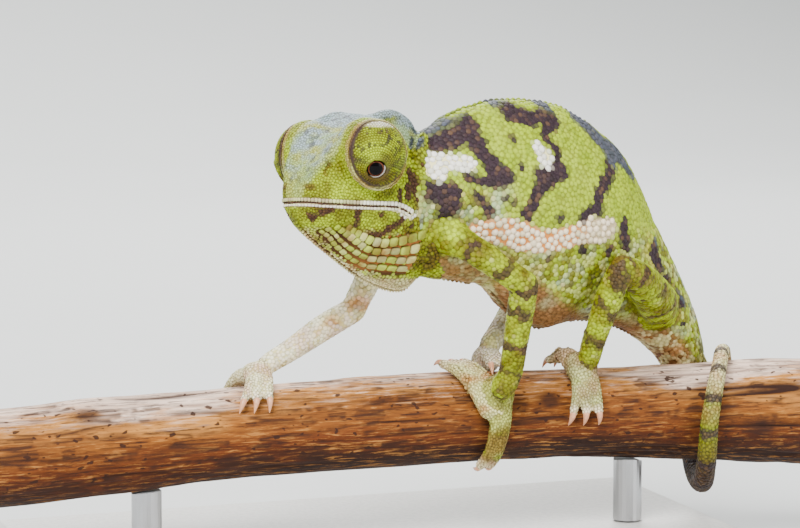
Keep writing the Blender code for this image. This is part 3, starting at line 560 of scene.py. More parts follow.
# Dark bands, white spots and pale stripe of the flank, as (forward, up, half-width) in the
# body's frame.
FLANK_DARK = (
    ((47.9, 38.4, 1.1), (45.7, 39.2, 1.6), (43.4, 39.9, 1.6), (42.6, 40.6, 1.0)),
    ((42.9, 38.3, 0.8), (42.2, 37.0, 0.75), (41.3, 36.0, 0.95), (40.3, 35.0, 1.3),
     (39.5, 34.0, 1.0)),
    ((40.3, 35.0, 1.1), (40.9, 33.6, 0.85), (43.3, 33.7, 0.5), (45.6, 33.9, 0.45)),
    ((50.0, 32.5, 1.2), (48.7, 32.0, 1.3), (48.0, 30.5, 1.1), (48.5, 29.3, 0.8)),
    ((44.3, 31.5, 0.4), (43.1, 30.5, 0.5), (42.1, 29.2, 0.6)),
    ((37.4, 43.1, 0.6), (35.8, 42.1, 0.9), (34.3, 41.4, 0.95), (32.5, 40.9, 0.85),
     (30.3, 41.0, 0.8), (29.0, 41.3, 1.1), (29.2, 42.6, 0.9)),
    ((29.3, 40.6, 1.0), (30.3, 39.2, 0.5), (30.5, 37.9, 0.4), (29.8, 36.8, 0.6), (30.0, 35.1, 0.5)),
    ((33.4, 33.9, 0.8), (31.7, 33.5, 1.3), (29.9, 34.0, 1.1)),
    ((32.6, 32.8, 1.3), (34.4, 31.7, 0.85), (35.2, 30.0, 0.75), (36.3, 28.6, 0.6)),
    ((23.1, 40.7, 0.7), (21.5, 39.2, 0.9), (20.3, 37.6, 0.9), (18.4, 36.0, 1.1), (16.0, 34.4, 1.0),
     (14.3, 32.3, 0.6)),
    ((18.6, 34.9, 0.9), (20.5, 33.2, 0.9), (22.2, 31.5, 1.05), (23.6, 29.7, 1.05),
     (24.0, 28.6, 0.8), (26.3, 27.8, 0.5)),
    ((18.9, 26.4, 0.6), (18.7, 24.7, 0.75), (18.0, 23.2, 0.6)), ((21.1, 22.7, 0.5),),
    ((11.1, 22.4, 0.6), (12.0, 21.1, 0.6), (10.4, 19.0, 0.5)), ((9.0, 17.5, 0.4), (4.8, 14.0, 0.5)),
    ((37.2, 38.3, 0.35),), ((36.5, 35.0, 0.35),), ((39.6, 31.2, 0.35),), ((38.1, 30.3, 0.4),),
    ((30.4, 27.5, 0.5),), ((32.0, 22.6, 0.5),), ((26.2, 23.0, 0.5),))
FLANK_WHITE = (
    ((49.2, 36.2, 1.25), (49.6, 34.9, 1.2)),
    ((49.0, 35.9, 1.15), (46.8, 35.9, 1.1), (44.2, 35.5, 0.95)),
    ((32.8, 36.9, 0.95), (32.0, 35.4, 1.1)))
FLANK_STRIPE = (
    ((43.6, 26.9, 1.2), (41.2, 26.8, 1.65), (36.9, 25.8, 1.95), (34.0, 24.8, 1.6),
     (30.3, 24.8, 1.35), (25.3, 25.7, 1.75), (22.0, 25.7, 1.65)),)
# Dark and blue marks on the side of the head, as (forward, up, half-width) in its frame.
HEAD_DARK = (
    ((-6.9, -1.8, 0.6), (-7.6, -3.7, 0.85), (-8.3, -5.5, 0.7)),
    ((-6.3, -3.9, 0.55), (-6.1, -5.2, 0.5)), ((-4.6, -4.4, 0.42), (-4.5, -5.6, 0.38)),
    ((-8.8, -0.9, 0.3),), ((6.6, -7.4, 0.55), (6.0, -7.2, 0.45)),
    ((8.0, -7.9, 0.3), (7.3, -8.1, 0.35), (7.5, -8.8, 0.35)),
    ((2.0, -6.9, 0.42), (1.9, -7.9, 0.42), (1.6, -8.9, 0.35)),
    ((-5.4, -8.0, 0.5), (-4.4, -8.8, 0.5), (-2.7, -9.9, 0.45), (-0.6, -10.0, 0.3)),
    ((-1.7, -7.7, 0.35),), ((-7.2, -8.6, 0.4),))
HEAD_BLUE = (((-8.2, 1.6, 0.45), (-8.9, 2.5, 0.5)), ((-10.4, 3.5, 0.35), (-9.7, 4.0, 0.3)))
# Spots of the crown and snout, as (forward, left, radius).
FACE_SPOTS = ((-2.6, -1.8, 0.45), (1.3, -1.5, 0.38), (4.1, -1.5, 0.42), (5.9, 0.7, 0.32),
              (8.0, -1.2, 0.22), (-1.4, -2.9, 0.35), (3.4, -3.1, 0.3), (5.2, 2.2, 0.26),
              (0.2, 1.6, 0.34), (-4.6, 1.2, 0.4), (2.6, 0.6, 0.25), (7.2, 0.9, 0.22))
# Ridge of the brow, as (up, half-width), and the casque's lower edge, as (forward, up).
CANTHUS = ((-5.6, 1.5), (-4.6, 1.9), (-3.8, 2.4), (-2.0, 3.2), (-0.8, 3.8), (0.6, 4.4), (1.9, 4.7),
           (4.0, 4.7), (8.0, 5.0))
CASQUE_EDGE = ((-11.0, 4.2), (-8.0, 5.4), (-4.0, 6.2), (0.0, 5.0), (2.6, 3.3), (4.6, 1.8),
               (6.4, -0.1), (7.7, -1.8))
# More brown strokes and pale ones on the side of the head.
SNOUT_BROWN = (((8.2, -4.3, 0.45),), ((6.0, -1.4, 0.3), (6.6, -2.6, 0.3)))
MOUTH_CORNER = (
    ((-3.4, -6.75, 0.1), (-4.5, -7.1, 0.2), (-6.0, -7.72, 0.26), (-7.1, -7.66, 0.28),
     (-7.9, -6.95, 0.26), (-8.3, -6.3, 0.18)),)
# Depth under the head's axis where the pouch's pale underside starts, as (forward, depth).
POUCH_EDGE = ((-12.7, 14.6), (-8.0, 14.7), (-5.6, 14.7), (-3.7, 14.4), (-0.5, 13.5), (2.5, 12.0),
              (5.9, 10.0))
# Dark rays on an eye turret, as (forward, up, half-width) in the turret's frame.
TURRET_RAYS = (
    ((-0.5, -0.4, 0.14), (-2.0, 0.7, 0.2), (-3.6, 1.8, 0.2)), ((2.2, -1.3, 0.12), (4.0, -1.1, 0.2)),
    ((-0.4, -1.6, 0.12), (-2.8, -1.8, 0.25), (-3.8, -1.2, 0.2)))
# Rings of each leg: distance between them, phase and strength, and how pale the leg is.
LEG_RINGS = (("left_foreleg", 4.3, 0.4, 0.95, 0.0), ("left_hindleg", 4.8, 1.0, 0.9, 0.0),
             ("right_foreleg", 4.0, 0.0, 0.12, 1.0), ("right_hindleg", 4.0, 2.0, 0.35, 0.75))
# Painted shade on the tail's loop below the perch: strength of brown by height.
TAIL_SHADE_BROWN = ((12.0, 0.95), (16.0, 0.7), (20.0, 0.42), (26.0, 0.1))     # by height, in the loop
# Grooves between the rows of large scales on the throat, in the head's frame.
THROAT_GROOVES = (
    ((1.8, -9.5), (0.4, -10.1), (-0.9, -10.4), (-2.1, -10.6), (-3.9, -10.5), (-6.1, -10.0),
     (-8.5, -9.3), (-10.1, -8.8)),
    ((4.0, -9.0), (2.6, -9.5), (1.2, -10.1), (-0.3, -10.9), (-1.4, -11.4), (-2.6, -11.7),
     (-3.7, -11.7), (-5.9, -11.5), (-8.7, -10.9), (-10.9, -10.4)),
    ((5.0, -9.1), (3.8, -9.8), (2.6, -10.5), (1.1, -11.3), (-0.3, -11.9), (-1.6, -12.5),
     (-2.6, -12.65), (-4.8, -12.6), (-7.0, -12.7), (-9.5, -12.4), (-11.4, -12.1)),
    ((5.6, -9.5), (4.0, -10.2), (2.7, -11.1), (1.4, -11.8), (0.0, -12.6), (-1.2, -13.1),
     (-2.6, -13.6), (-5.0, -13.7), (-8.0, -13.8), (-10.3, -13.6), (-12.2, -13.6)),
    ((5.9, -9.8), (4.4, -10.6), (2.5, -11.9), (0.9, -12.8), (-0.5, -13.5), (-2.1, -14.1),
     (-3.7, -14.5), (-5.6, -14.7), (-7.9, -14.75), (-10.8, -14.8), (-12.7, -14.6)))


def strokes(x, y, table, soft, swell=0.0):
    mask = np.zeros(len(x))
    for rows in table:
        mask = np.maximum(mask, smooth(-soft, soft, swell + stroke(x, y, rows)))
    return mask


def line_gap(x, y, points):
    return -stroke(x, y, [(a, b, 0.0) for a, b in points])


def curve_at(x, rows, value=1):
    """Column 'value' of a table at x, straight between its rows in either order."""
    return np.interp(x, *np.array(sorted(rows))[:, (0, value)].T)


class Marks:
    """Where some points lie on the animal, and how strong each colour is there."""
    LAYERS = {"mark_a": ("dark", "white", "pink"), "mark_b": ("brown", "lilac", "pale"),
              "mark_c": ("orange", "lime", "blue")}

    def __init__(self, points, charts):
        self.points, self.charts = points, charts
        self.chart, self.along, self.tangent, self.angle, self.lean = charts.find(points)
        self.kind = charts.kind(self.chart)
        self.body, self.head = to_local(BODY, points).T, to_local(HEAD, points).T
        self.wob = fuzz(points, 2.2, 1) * 0.75 + fuzz(points, 0.9, 2) * 0.45
        self.wob2 = fuzz(points + 31.0, 2.2, 3) * 0.75 + fuzz(points, 0.9, 4) * 0.45
        self.ragged = fuzz(points, 0.6, 5)
        for key in sum(self.LAYERS.values(), ()):
            setattr(self, key, np.zeros(len(points)))

    def put(self, where, **values):
        """Set colours where a condition holds."""
        for key, value in values.items():
            setattr(self, key, np.where(where, value, getattr(self, key)))

    def lift(self, **values):
        """Raise colours to at least these strengths."""
        for key, value in values.items():
            setattr(self, key, np.maximum(getattr(self, key), value))

    def fade(self, share, *keys):
        """Take a share away from colours."""
        for key in keys:
            setattr(self, key, getattr(self, key) * (1 - share))

    def layers(self):
        return {name: np.stack([np.clip(getattr(self, key), 0, 1) for key in keys], 1)
                for name, keys in self.LAYERS.items()}


def mark_trunk(m):
    """Bands, white spots, stripe, belly and chest; green where the left legs join, painted shade
    round them.
    """
    (u, _, w), wob, wob2, ragged = m.body, m.wob, m.wob2, m.ragged
    trunk = m.kind == 0
    table = np.array(sorted(TRUNK))
    height = w - np.interp(u, table[:, 0], table[:, 1] - table[:, 3])
    depth = np.interp(u, table[:, 0], table[:, 1] + table[:, 2]) - w
    m.dark = strokes(u + wob * 0.9, w + wob2 * 0.7, FLANK_DARK, 0.35, 0.30) * trunk
    m.lift(dark=trunk * smooth(0.62, 0.8, ragged) * smooth(24, 20, w) * smooth(0.0, 3.0, height))
    m.white = strokes(u + wob * 0.35, w + wob2 * 0.3, FLANK_WHITE, 0.25) * trunk
    m.pink = strokes(u + wob * 0.3, w + wob2 * 0.25, FLANK_STRIPE, 0.25) * trunk
    m.orange = m.pink * smooth(23.5, 29.0, u)
    low = smooth(4.0, 1.6, height) * trunk
    m.pale = np.maximum(low, 0.28 * trunk * smooth(26.5, 22.0, w + wob2 * 0.7) * (ragged > 0.1))
    m.brown = 0.68 * trunk * smooth(4.0, 2.0, height) * smooth(38, 34, u) * smooth(9, 14, u)
    m.blue = trunk * m.dark * smooth(1.0, 0.3, depth + 0.5 * wob - 1.5 * smooth(30.0, 25.0, u))
    m.fade(0.7 * m.blue, "dark")
    m.lilac = trunk * 0.75 * smooth(0.0, 0.45, wob) * smooth(25, 22, w) * (1 - low)
    m.lime = np.where(trunk, 0.25 + 0.25 * fuzz(m.points, 4.0, 6), 0.0)
    gap = m.charts.gap(m.points, [n for n in LIMBS if "left" in n])
    limb = trunk * smooth(0.4, 0.1, gap)
    # Crease round the left legs: cut into the skin and painted brown as shade.
    m.crease = trunk * smooth(1.0, 0.5, gap) * (1 - limb)
    m.fade(limb, "dark", "white", "pink", "lilac", "pale", "brown")
    # Brown mottling on the legs' roots; in the crease the brown is painted shade.
    m.lift(lime=limb, brown=np.maximum(0.75 * limb * smooth(-0.1, 0.5, wob), 0.6 * m.crease))
    chest = trunk * smooth(36.0, 40.0, u) * smooth(24.5, 22.5, w) * (1 - limb)
    m.fade(chest, "pale")
    m.lift(pale=0.85 * chest, brown=chest * (0.30 + 0.26 * smooth(-0.2, 0.5, ragged)))
    m.fade(0.8 * chest, "lilac")
    near = trunk * smooth(36.0, 42.0, u) * smooth(34.0, 31.0, w) * (1 - limb)
    m.lift(lilac=0.8 * near * smooth(0.0, 0.5, wob2), brown=0.6 * near * smooth(0.1, 0.45, ragged),
           pale=0.45 * near * smooth(0.1, 0.5, -ragged))
    m.lift(brown=0.65 * trunk * smooth(25.5, 23.0, w) * smooth(0.0, 0.4, -ragged) * (1 - limb))


def mark_face(m, side):
    """Lilac-grey casque and snout, spots, and the pale crest of the throat; returns the crest."""
    (f, l, z), wob, wob2 = m.head, m.wob, m.wob2
    on_head = m.kind == 1
    rough = f + wob * 0.2 + m.ragged * 0.12, z + wob2 * 0.2 + m.ragged * 0.12
    dark = strokes(*rough, HEAD_DARK, 0.26, 0.08) * side
    inner = curve_at(z, CANTHUS) - np.abs(l) + wob * 0.25
    rear = smooth(-9.5, -11.5, f)
    face = smooth(-0.15, 0.35, inner) * on_head * smooth(-5.9, -5.3, z) * (1 - rear)
    casque = z - curve_at(f, CASQUE_EDGE) + 0.7 * wob - 0.8 * smooth(-0.5, 3.0, f)
    casque = on_head * smooth(-2.0, -0.3, casque)
    fore = smooth(-0.5, 2.5, f)
    mottle = 0.50 + 0.55 * fuzz(m.points, 1.4, 12) + 0.35 * fuzz(m.points, 0.6, 13)
    casque = np.maximum(casque * (1 - 0.85 * fore), on_head * fore * np.clip(mottle, 0, 1)
                        * smooth(-0.2, 1.2, inner) * smooth(-5.6, -1.0, z) * (1 - rear))
    face = np.maximum(face, casque)
    spots = np.zeros(len(f))
    for sf, sl, r in FACE_SPOTS:
        d = np.hypot((f - sf + wob * 0.2) * 0.8, l - sl + wob2 * 0.2)
        spots = np.maximum(spots, smooth(r + 0.12, r - 0.12, d))
    fleck = face * smooth(0.50, 0.62, fuzz(m.points, 0.42, 14)) * smooth(7.5, 5.5, z)
    below = z - curve_at(f, HEAD_RINGS, 5)
    wide = 1.05 - 0.5 * smooth(-2.0, 4.0, f)
    crest = smooth(wide + 0.3, wide - 0.3, np.abs(l) + 0.25 * below) * smooth(2.6, 1.6, below)
    crest = crest * on_head * smooth(7.6, 6.4, f)
    snout = strokes(*rough, SNOUT_BROWN, 0.2) * side
    m.put(on_head, lilac=face * (0.66 + 0.34 * smooth(-2.5, 2.5, z)), pale=crest,
          dark=np.maximum.reduce([0.35 * dark, 0.40 * face * spots, 0.45 * fleck]),
          blue=np.maximum(strokes(*rough, HEAD_BLUE, 0.25) * side, 0.45 * face * spots),
          lime=(1 - 0.6 * face) * (1 - casque), brown=np.maximum(0.8 * snout, dark))
    return crest


def mark_throat(m, side, crest, bare):
    """Orange-brown folds between the throat's rows, and the pale underside of the pouch."""
    (f, _, z), ragged = m.head, m.ragged
    on_head = m.kind == 1
    m.groove = np.full(len(f), 9.0)
    for rows in THROAT_GROOVES:
        m.groove = np.minimum(m.groove, line_gap(f, z, rows))
    throat = (on_head * smooth(0.9, 0.2, line_gap(f, z, THROAT_GROOVES[2]) - 2.2)
              * smooth(-9.0, -10.0, z + 0.25 * f * (f < -2)) * smooth(-10.2, -9.5, f))
    under = on_head * smooth(0.3, 0.9, (-z - 0.3) - curve_at(f, POUCH_EDGE))
    rust = 0.7 * smooth(0.05, 0.6, m.wob2 + 0.4 * ragged) * smooth(-5.8, -6.6, z) * side
    rust = np.maximum(rust * (1 - 0.85 * throat),
                      under * (0.15 + 0.3 * smooth(-0.3, 0.4, ragged)) * (1 - crest))
    m.put(on_head, pink=0.25 * under,
          orange=throat * smooth(3.0, -6.0, f) * smooth(-15.0, -14.2, z))
    m.lift(pale=0.7 * under)
    m.put(on_head, brown=np.maximum(m.brown, rust))
    if bare:
        m.lift(brown=throat)
    else:
        m.lift(dark=0.4 * throat * smooth(0.35, 0.5, ragged),
               pale=throat * (0.14 + 0.42 * smooth(-0.1, 0.4, ragged)))


def mark_mouth(m, side):
    """White lips, the dark line between them and the pale corner of the mouth."""
    f, _, z = m.head
    on_head = m.kind == 1
    m.lip = lip = np.where(f > -7.1, line_gap(f, z, MOUTH_LINE), 9.0)
    lips = on_head * np.where(z > curve_at(f, MOUTH_LINE),
                              smooth(0.60, 0.42, lip) * (0.30 + 0.70 * smooth(2.4, 1.0, f)),
                              smooth(0.42, 0.30, lip) * 0.85)
    slit = on_head * smooth(0.14, 0.09, lip)
    corner = strokes(f, z, MOUTH_CORNER, 0.1) * side
    m.lift(pale=on_head * 0.3 * smooth(0.66, 0.46, lip))
    m.fade(on_head * (0.8 * smooth(0.66, 0.5, lip)), "lilac", "dark")
    m.lift(dark=0.55 * slit, brown=slit, pale=lips * (1 - slit))
    m.put(on_head, white=np.maximum(0.72 * lips, 0.9 * corner) * (1 - slit))


def mark_turret(m, side):
    """Specks, rays and pale top of one eye turret, with its dark-edged rim and lids."""
    wob, wob2 = m.wob, m.wob2
    x, y, h = to_local(turret_matrix(side), m.points).T
    e = to_local(turret_matrix(side), np.array([eye_centre(side)]))[0]
    r, away = np.hypot(x, h), np.hypot(x - e[0], h - e[2])
    dome = (x * x + h * h < DOME_EDGE ** 2) & (side * y > 1.2)
    rim = ((x * x + h * h >= DOME_EDGE ** 2) & (x * x + h * h < RIM_EDGE ** 2) & (side * y > 1.3)
           & (side * y < 3.2))
    top = smooth(3.2, 3.6, h + 0.15 * wob) * smooth(2.9, 2.2, np.abs(x - 0.3))
    edge = smooth(3.85, 4.1, r)
    specks = 0.8 * smooth(0.34, 0.55, fuzz(m.points, 0.34, 8)) * smooth(1.8, 2.6, away)
    ochre = smooth(-1.3, -2.7, h + 1.2 * wob) * (0.72 + 0.28 * m.ragged)
    rays = strokes(x + wob * 0.15, h + wob2 * 0.15, TURRET_RAYS, 0.15)
    band = smooth(0.75, 0.35, np.abs(h + 1.1 + wob * 0.2)) * smooth(1.2, 2.2, away) * 0.5
    m.put(dome, dark=np.maximum.reduce([rays * 0.7, band, 0.75 * edge, specks]), white=0.7 * top,
          pale=0.5 * top, brown=np.maximum(ochre, 0.8 * edge), lime=1.0, lilac=0.0, blue=0.0,
          orange=0.0)
    gutter = smooth(4.30, DOME_EDGE, r)
    m.put(rim, pale=(0.42 + 0.2 * smooth(2.0, 4.2, np.abs(h))) * (1 - gutter), lilac=0.35, lime=0.5,
          brown=np.maximum(0.28, gutter), dark=0.55 * gutter)
    lid = smooth(1.70, 1.30, away) * (0.25 + 0.4 * smooth(0.3, -0.8, h - e[2]))
    m.lift(dark=lid * dome * (away < APERTURE + 0.45))


def mark_legs(m):
    """Brown rings on green outer faces; pale inner faces."""
    wob, wob2 = m.wob, m.wob2
    for name, period, phase, amount, pale in LEG_RINGS:
        if pale:
            outer = smooth(0.15, 0.75, -m.lean)
            pale, amount = pale * (1 - outer), amount + (0.92 - amount) * outer
        else:
            pale = 0.7 * smooth(0.35, 0.9, -m.lean)
        ring = np.sin(2 * math.pi * (m.along + wob * 1.5) / period + phase + 0.9 * np.sin(m.angle))
        band = smooth(0.1, 0.9, ring + 0.8 * wob2)
        m.put(m.chart == m.charts.names.index(name), dark=amount * 0.6 * band, lime=1 - pale,
              white=0.5 * pale * smooth(-0.6, 0.1, wob),
              pale=np.clip(pale + 0.2 * smooth(0.3, 0.7, m.ragged), 0, 1),
              brown=np.maximum(amount * 0.9 * band,
                               (0.14 + 0.40 * smooth(-0.1, 0.6, wob)) * (1 - pale)))


def mark_feet(m):
    """Pale feet, palest on the right, with pinkish toe tips."""
    wob = m.wob
    right, inner, hind = (m.charts.named(word, m.chart) for word in ("right", "inner", "hind"))
    tip = smooth(0.75, 1.0, m.along / m.charts.reach[m.chart]) * (m.kind == 5)
    soft = np.where(right, 0.95, np.where(inner, 0.8, np.where(hind, 0.5, 0.36)))
    soft = soft - 0.35 * smooth(0.2, 0.7, wob)
    far = hind & (right | inner)
    # Brown mottling on the left feet, apart from their inner toes.
    left_brown = np.where(right | inner, 0.0, 0.25 + 0.30 * smooth(-0.3, 0.4, m.wob2))
    m.put(m.kind >= 4, pale=np.clip(soft + 0.8 * tip, 0, 1), lime=np.where(right, 0.1, 0.9),
          white=0.35 * right + 0.12 * (hind & ~inner), pink=np.maximum(0.6 * tip, 0.35 * far),
          brown=np.where(far, 0.3, left_brown) * (1 - tip), dark=0.0)


def mark_tail(m):
    """Dark rings; pale where it climbs the perch, painted shade of dark brown where it passes
    below.
    """
    wob, along, up = m.wob, m.along, m.points[:, 2]
    tail = m.kind == 2
    ring = np.sin(2 * math.pi * (along + wob * 0.6) / 4.6 + 0.5)
    front = tail * smooth(21.0, 27.0, up) * smooth(40.0, 43.0, along)
    loop = tail * smooth(21.0, 26.0, along)
    # Painted shade: the loop turns dark and brown, and loses its pale, the lower it hangs below the
    # perch.
    m.put(tail, dark=np.maximum(0.9 * smooth(0.35, 0.75, ring + 0.4 * wob),
                                0.6 * loop * smooth(15.5, 12.5, up)),
          pale=np.maximum(0.45 * smooth(0.3, -0.4, ring), 0.8 * front)
          * (1 - 0.8 * loop * smooth(22.0, 18.0, up)),
          pink=0.3 * front, lime=0.6,
          brown=np.maximum(0.4 * smooth(0.1, 0.7, m.wob2), loop * curve_at(up, TAIL_SHADE_BROWN)))


def markings(points, charts, bare=False):
    """The skin's colours at each point; bare: in the folds between scales."""
    m = Marks(points, charts)
    mark_trunk(m)
    side = (m.kind == 1) & (np.abs(m.head[1]) > 1.5)
    mark_throat(m, side, mark_face(m, side), bare)
    mark_mouth(m, side)
    for s in (1, -1):
        mark_turret(m, s)
    mark_legs(m)
    mark_feet(m)
    mark_tail(m)
    return m


# ======================================================================================
# skin and seeds of the coat
# ======================================================================================
SKIN_DEPTH = (0.20, 0.12, 0.14, 0.14, 0.10, 0.10)     # skin under its coat, by kind of part
PIT_FLOOR = 3.0                                       # height in a turret where its pit starts


def vertex_arrays(mesh):
    n = len(mesh.vertices)
    co, nor = np.empty(n * 3), np.empty(n * 3)
    mesh.vertices.foreach_get("co", co)
    mesh.vertices.foreach_get("normal", nor)
    return co.reshape(-1, 3), nor.reshape(-1, 3)


def triangles(mesh):
    mesh.calc_loop_triangles()
    tri = np.empty(len(mesh.loop_triangles) * 3, int)
    mesh.loop_triangles.foreach_get("vertices", tri)
    return tri.reshape(-1, 3)


def give(mesh, name, values, kind="FLOAT_VECTOR"):
    """Stores one value or vector for each vertex."""
    layer = mesh.attributes.get(name) or mesh.attributes.new(name, kind, "POINT")
    values = np.ascontiguousarray(values, np.float32).ravel()
    layer.data.foreach_set("vector" if kind == "FLOAT_VECTOR" else "value", values)


def eye_gap(points, side):
    """Height of points along the axis of one eye, and their distance from it."""
    return axis_gap(points, turret_matrix(side).translation, eye_axis(side))


def axis_gap(points, origin, axis):
    axis, off = np.array(axis), points - np.array(origin)
    reach = off @ axis
    return reach, np.linalg.norm(off - reach[:, None] * axis, axis=1)


def sculpt(points, normals, m):
    """Draws the skin in under the coat, and cuts its folds and the pit of each eye."""
    on_head = m.kind == 1
    depth = np.array(SKIN_DEPTH)[m.kind]
    depth = depth + 0.20 * smooth(0.32, 0.08, m.groove) * (on_head * smooth(-8.8, -9.8, m.head[2]))
    depth = depth + on_head * (0.22 * smooth(0.20, 0.04, m.lip) - 0.10 * smooth(0.75, 0.40, m.lip))
    depth = depth + 0.10 * fuzz(points, 1.6, 21) * (m.kind == 0) + 0.22 * m.crease
    points = points - normals * depth[:, None]
    for side in (1, -1):
        reach, away = eye_gap(points, side)
        pit = smooth(APERTURE + 0.12, APERTURE - 0.12, away) * (reach > PIT_FLOOR)
        points = points - np.array(eye_axis(side)) * (pit * 0.9)[:, None]
    return points


class Skin:
    """The fused skin in millimetres, and quick answers about its surface."""

    def __init__(self, voxel):
        self.charts = Charts()
        work = new_object("skin_work", join("skin", flesh_forms()))
        fuse = work.modifiers.new("fuse", "REMESH")
        fuse.mode = "VOXEL"
        fuse.voxel_size = voxel
        relax = work.modifiers.new("relax", "SMOOTH")
        relax.factor = 0.5
        relax.iterations = 3
        mesh = evaluated_mesh(work)
        bpy.data.objects.remove(work)
        co, nor = vertex_arrays(mesh)
        co = sculpt(co, nor, markings(co, self.charts))
        mesh.vertices.foreach_set("co", co.ravel())
        mesh.update()
        self.mesh = mesh
        self.co, self.nor = vertex_arrays(mesh)
        self.tri = triangles(mesh)
        self.tree = BVHTree.FromPolygons(self.co.tolist(), self.tri.tolist())

    def settle(self, points):
        """Nearest places on the skin, with its smooth normal there."""
        out, nor = np.empty_like(points), np.empty_like(points)
        for i, p in enumerate(points.tolist()):
            place, _, face, _ = self.tree.find_nearest(p)
            out[i] = place
            nor[i] = self.nor[self.tri[face]].sum(0)
        return out, unit(nor)

    def cast(self, origin, direction):
        hit = self.tree.ray_cast(origin, Vector(direction).normalized())[0]
        return None if hit is None else np.array(hit)


def pitch_of(m):
    """Distance between scales at each point, in millimetres."""
    (f, l, z), kind = m.head, m.kind
    layers = m.layers()
    bead = layers["mark_a"][:, 1:].max(1)
    trunk = 0.64 - 0.10 * smooth(17.0, 13.5, m.body[2]) + 0.18 * smooth(0.2, 0.6, bead)
    face = 0.40 + 0.12 * smooth(-2.0, -8.0, f) - 0.05 * smooth(4.0, 8.0, f)
    fine = (layers["mark_b"][:, 1] > 0.5) & (z > -5.5)
    fine |= (layers["mark_b"][:, 2] > 0.4) & (np.abs(l) < 1.5)
    face = np.where(fine, 0.34, face)
    for s in (1, -1):
        x, y, h = to_local(turret_matrix(s), m.points).T
        r = np.hypot(x, h)
        face = np.where((r > 4.1) & (r < 4.9) & (s * y > 1.1), 0.25, face)
    tail = np.interp(m.along, (0.0, 25.0, 110.0), (0.74, 0.52, 0.33))
    leg = np.interp(m.along, (0.0, 12.0, 26.0), (0.66, 0.56, 0.46))
    return np.choose(kind, [trunk, face, tail, leg, 0.42, 0.38])


def lengths(line):
    """Length of a polyline up to each of its points."""
    return np.concatenate([[0], np.cumsum(np.linalg.norm(np.diff(line, axis=0), axis=1))])


def walk(line, pitch_at):
    """Evenly spaced places along a polyline: point, direction, pitch and share of its length."""
    line = np.array(line, float)
    total = lengths(line)

    def spot(at):
        return np.array([np.interp(at, total, column) for column in line.T])

    s, out = 0.0, []
    while s < total[-1]:
        pitch = pitch_at(s / total[-1])
        at = s + pitch / 2
        if at > total[-1]:
            break
        out.append((spot(at), unit(spot(at + 0.1) - spot(at - 0.1)), pitch, at / total[-1]))
        s += pitch
    return out


def lip_rows(skin):
    """Rows of lip shields over and under the mouth, and the dark line between them."""
    seeds = []
    for offset, half, high in ((0.40, 0.24, 0.15), (-0.30, 0.15, 0.13), (0.03, 0.15, 0.04)):
        for side in (1, -1):
            line = []
            for k in range(140):
                a = math.radians(k * 1.05)
                out = Vector((math.cos(a), side * math.sin(a), 0.0))
                f, place = 4.0, None
                for _ in range(3):
                    low, zz = curve_at((f - 0.4, f), MOUTH_LINE)
                    zz = zz + offset * math.hypot(1.0, (zz - low) / 0.4)
                    start = head(-1.0 + 16 * out.x, 16 * out.y, zz)
                    place = skin.cast(start, head(-1.0, 0.0, zz) - start)
                    if place is None:
                        break
                    f = to_local(HEAD, place)[0]
                if place is None or f < -6.7:
                    break
                line.append(place)
            for p, t, pitch, share in walk(line, lambda t: 0.42 + 0.22 * t):
                long = 0.5 if high > 0.1 else 0.62
                seeds.append((p, t, pitch * long, half * (1.0 + 0.3 * share), high, 1))
    return seeds


def throat_rows(skin):
    """Rows of large oblong scales on the throat pouch, between its grooves."""
    seeds = []

    def even(rows):
        total = lengths(np.array(rows))
        at = np.linspace(0, total[-1], 30)
        return np.stack([np.interp(at, total, column) for column in zip(*rows)], 1)

    def touch(f, z, side):
        return skin.cast(head(f, side * 14.0, z), head(f, 0, z) - head(f, side * 14.0, z))

    lines = [even(rows) for rows in THROAT_GROOVES]
    for upper, lower in zip(lines, lines[1:]):
        for side in (1, -1):
            line = []
            for (f0, z0), (f1, z1) in zip(upper, lower):
                if f0 < THROAT_BACK:
                    break
                hits = [touch(f0 + (f1 - f0) * k, z0 + (z1 - z0) * k, side) for k in (0, 0.5, 1)]
                if all(h is not None for h in hits):
                    line.append((*hits[1], np.linalg.norm(hits[0] - hits[2])))
            for p, t, pitch, _ in walk(line, lambda t: 0.85 + 1.05 * t):
                half = min(0.5 * p[3], 0.85) * 0.82
                seeds.append((p[:3], t[:3], pitch * 0.50, half, 0.22, 1))
    return seeds


def crest_rows(skin):
    """Low cones along the throat's keel, the belly and the ridge of the back."""
    seeds = []
    down = [(head(f, 0.0, -30.0), head(f, 0.0, 0.0)) for f in np.linspace(8.2, -13.0, 60)]
    belly = [(body(u, 0.0, -5.0), body(u, 0.0, 30.0)) for u in np.linspace(45.0, 10.0, 70)]
    back = [(body(u, 0.0, 60.0), body(u, 0.0, 10.0)) for u in np.linspace(44.5, 6.0, 90)]
    for pairs, pitch, half, height in ((down, 0.52, 0.26, 0.34), (belly, 0.75, 0.33, 0.30),
                                       (back, 0.95, 0.42, 0.34)):
        hits = [skin.cast(start, goal - start) for start, goal in pairs]
        for p, t, step, _ in walk([h for h in hits if h is not None], lambda t: pitch):
            seeds.append((p, t, step * 0.54, half, height, 2))
    return seeds


def rim_rows():
    """A ring of narrow smooth plates along the rim of each eye turret."""
    seeds = []
    for side in (1, -1):
        crest = turret_matrix(side, RIM_AT) @ Matrix.Translation((0.0, side * 0.22, 0.0))
        line = [tuple(p) for p in circle(crest, RIM_RADIUS + 0.06, 96)]
        for p, t, pitch, _ in walk(line, lambda t: 0.46):
            seeds.append((p, t, pitch * 0.54, 0.17, 0.10, 1))
    return seeds


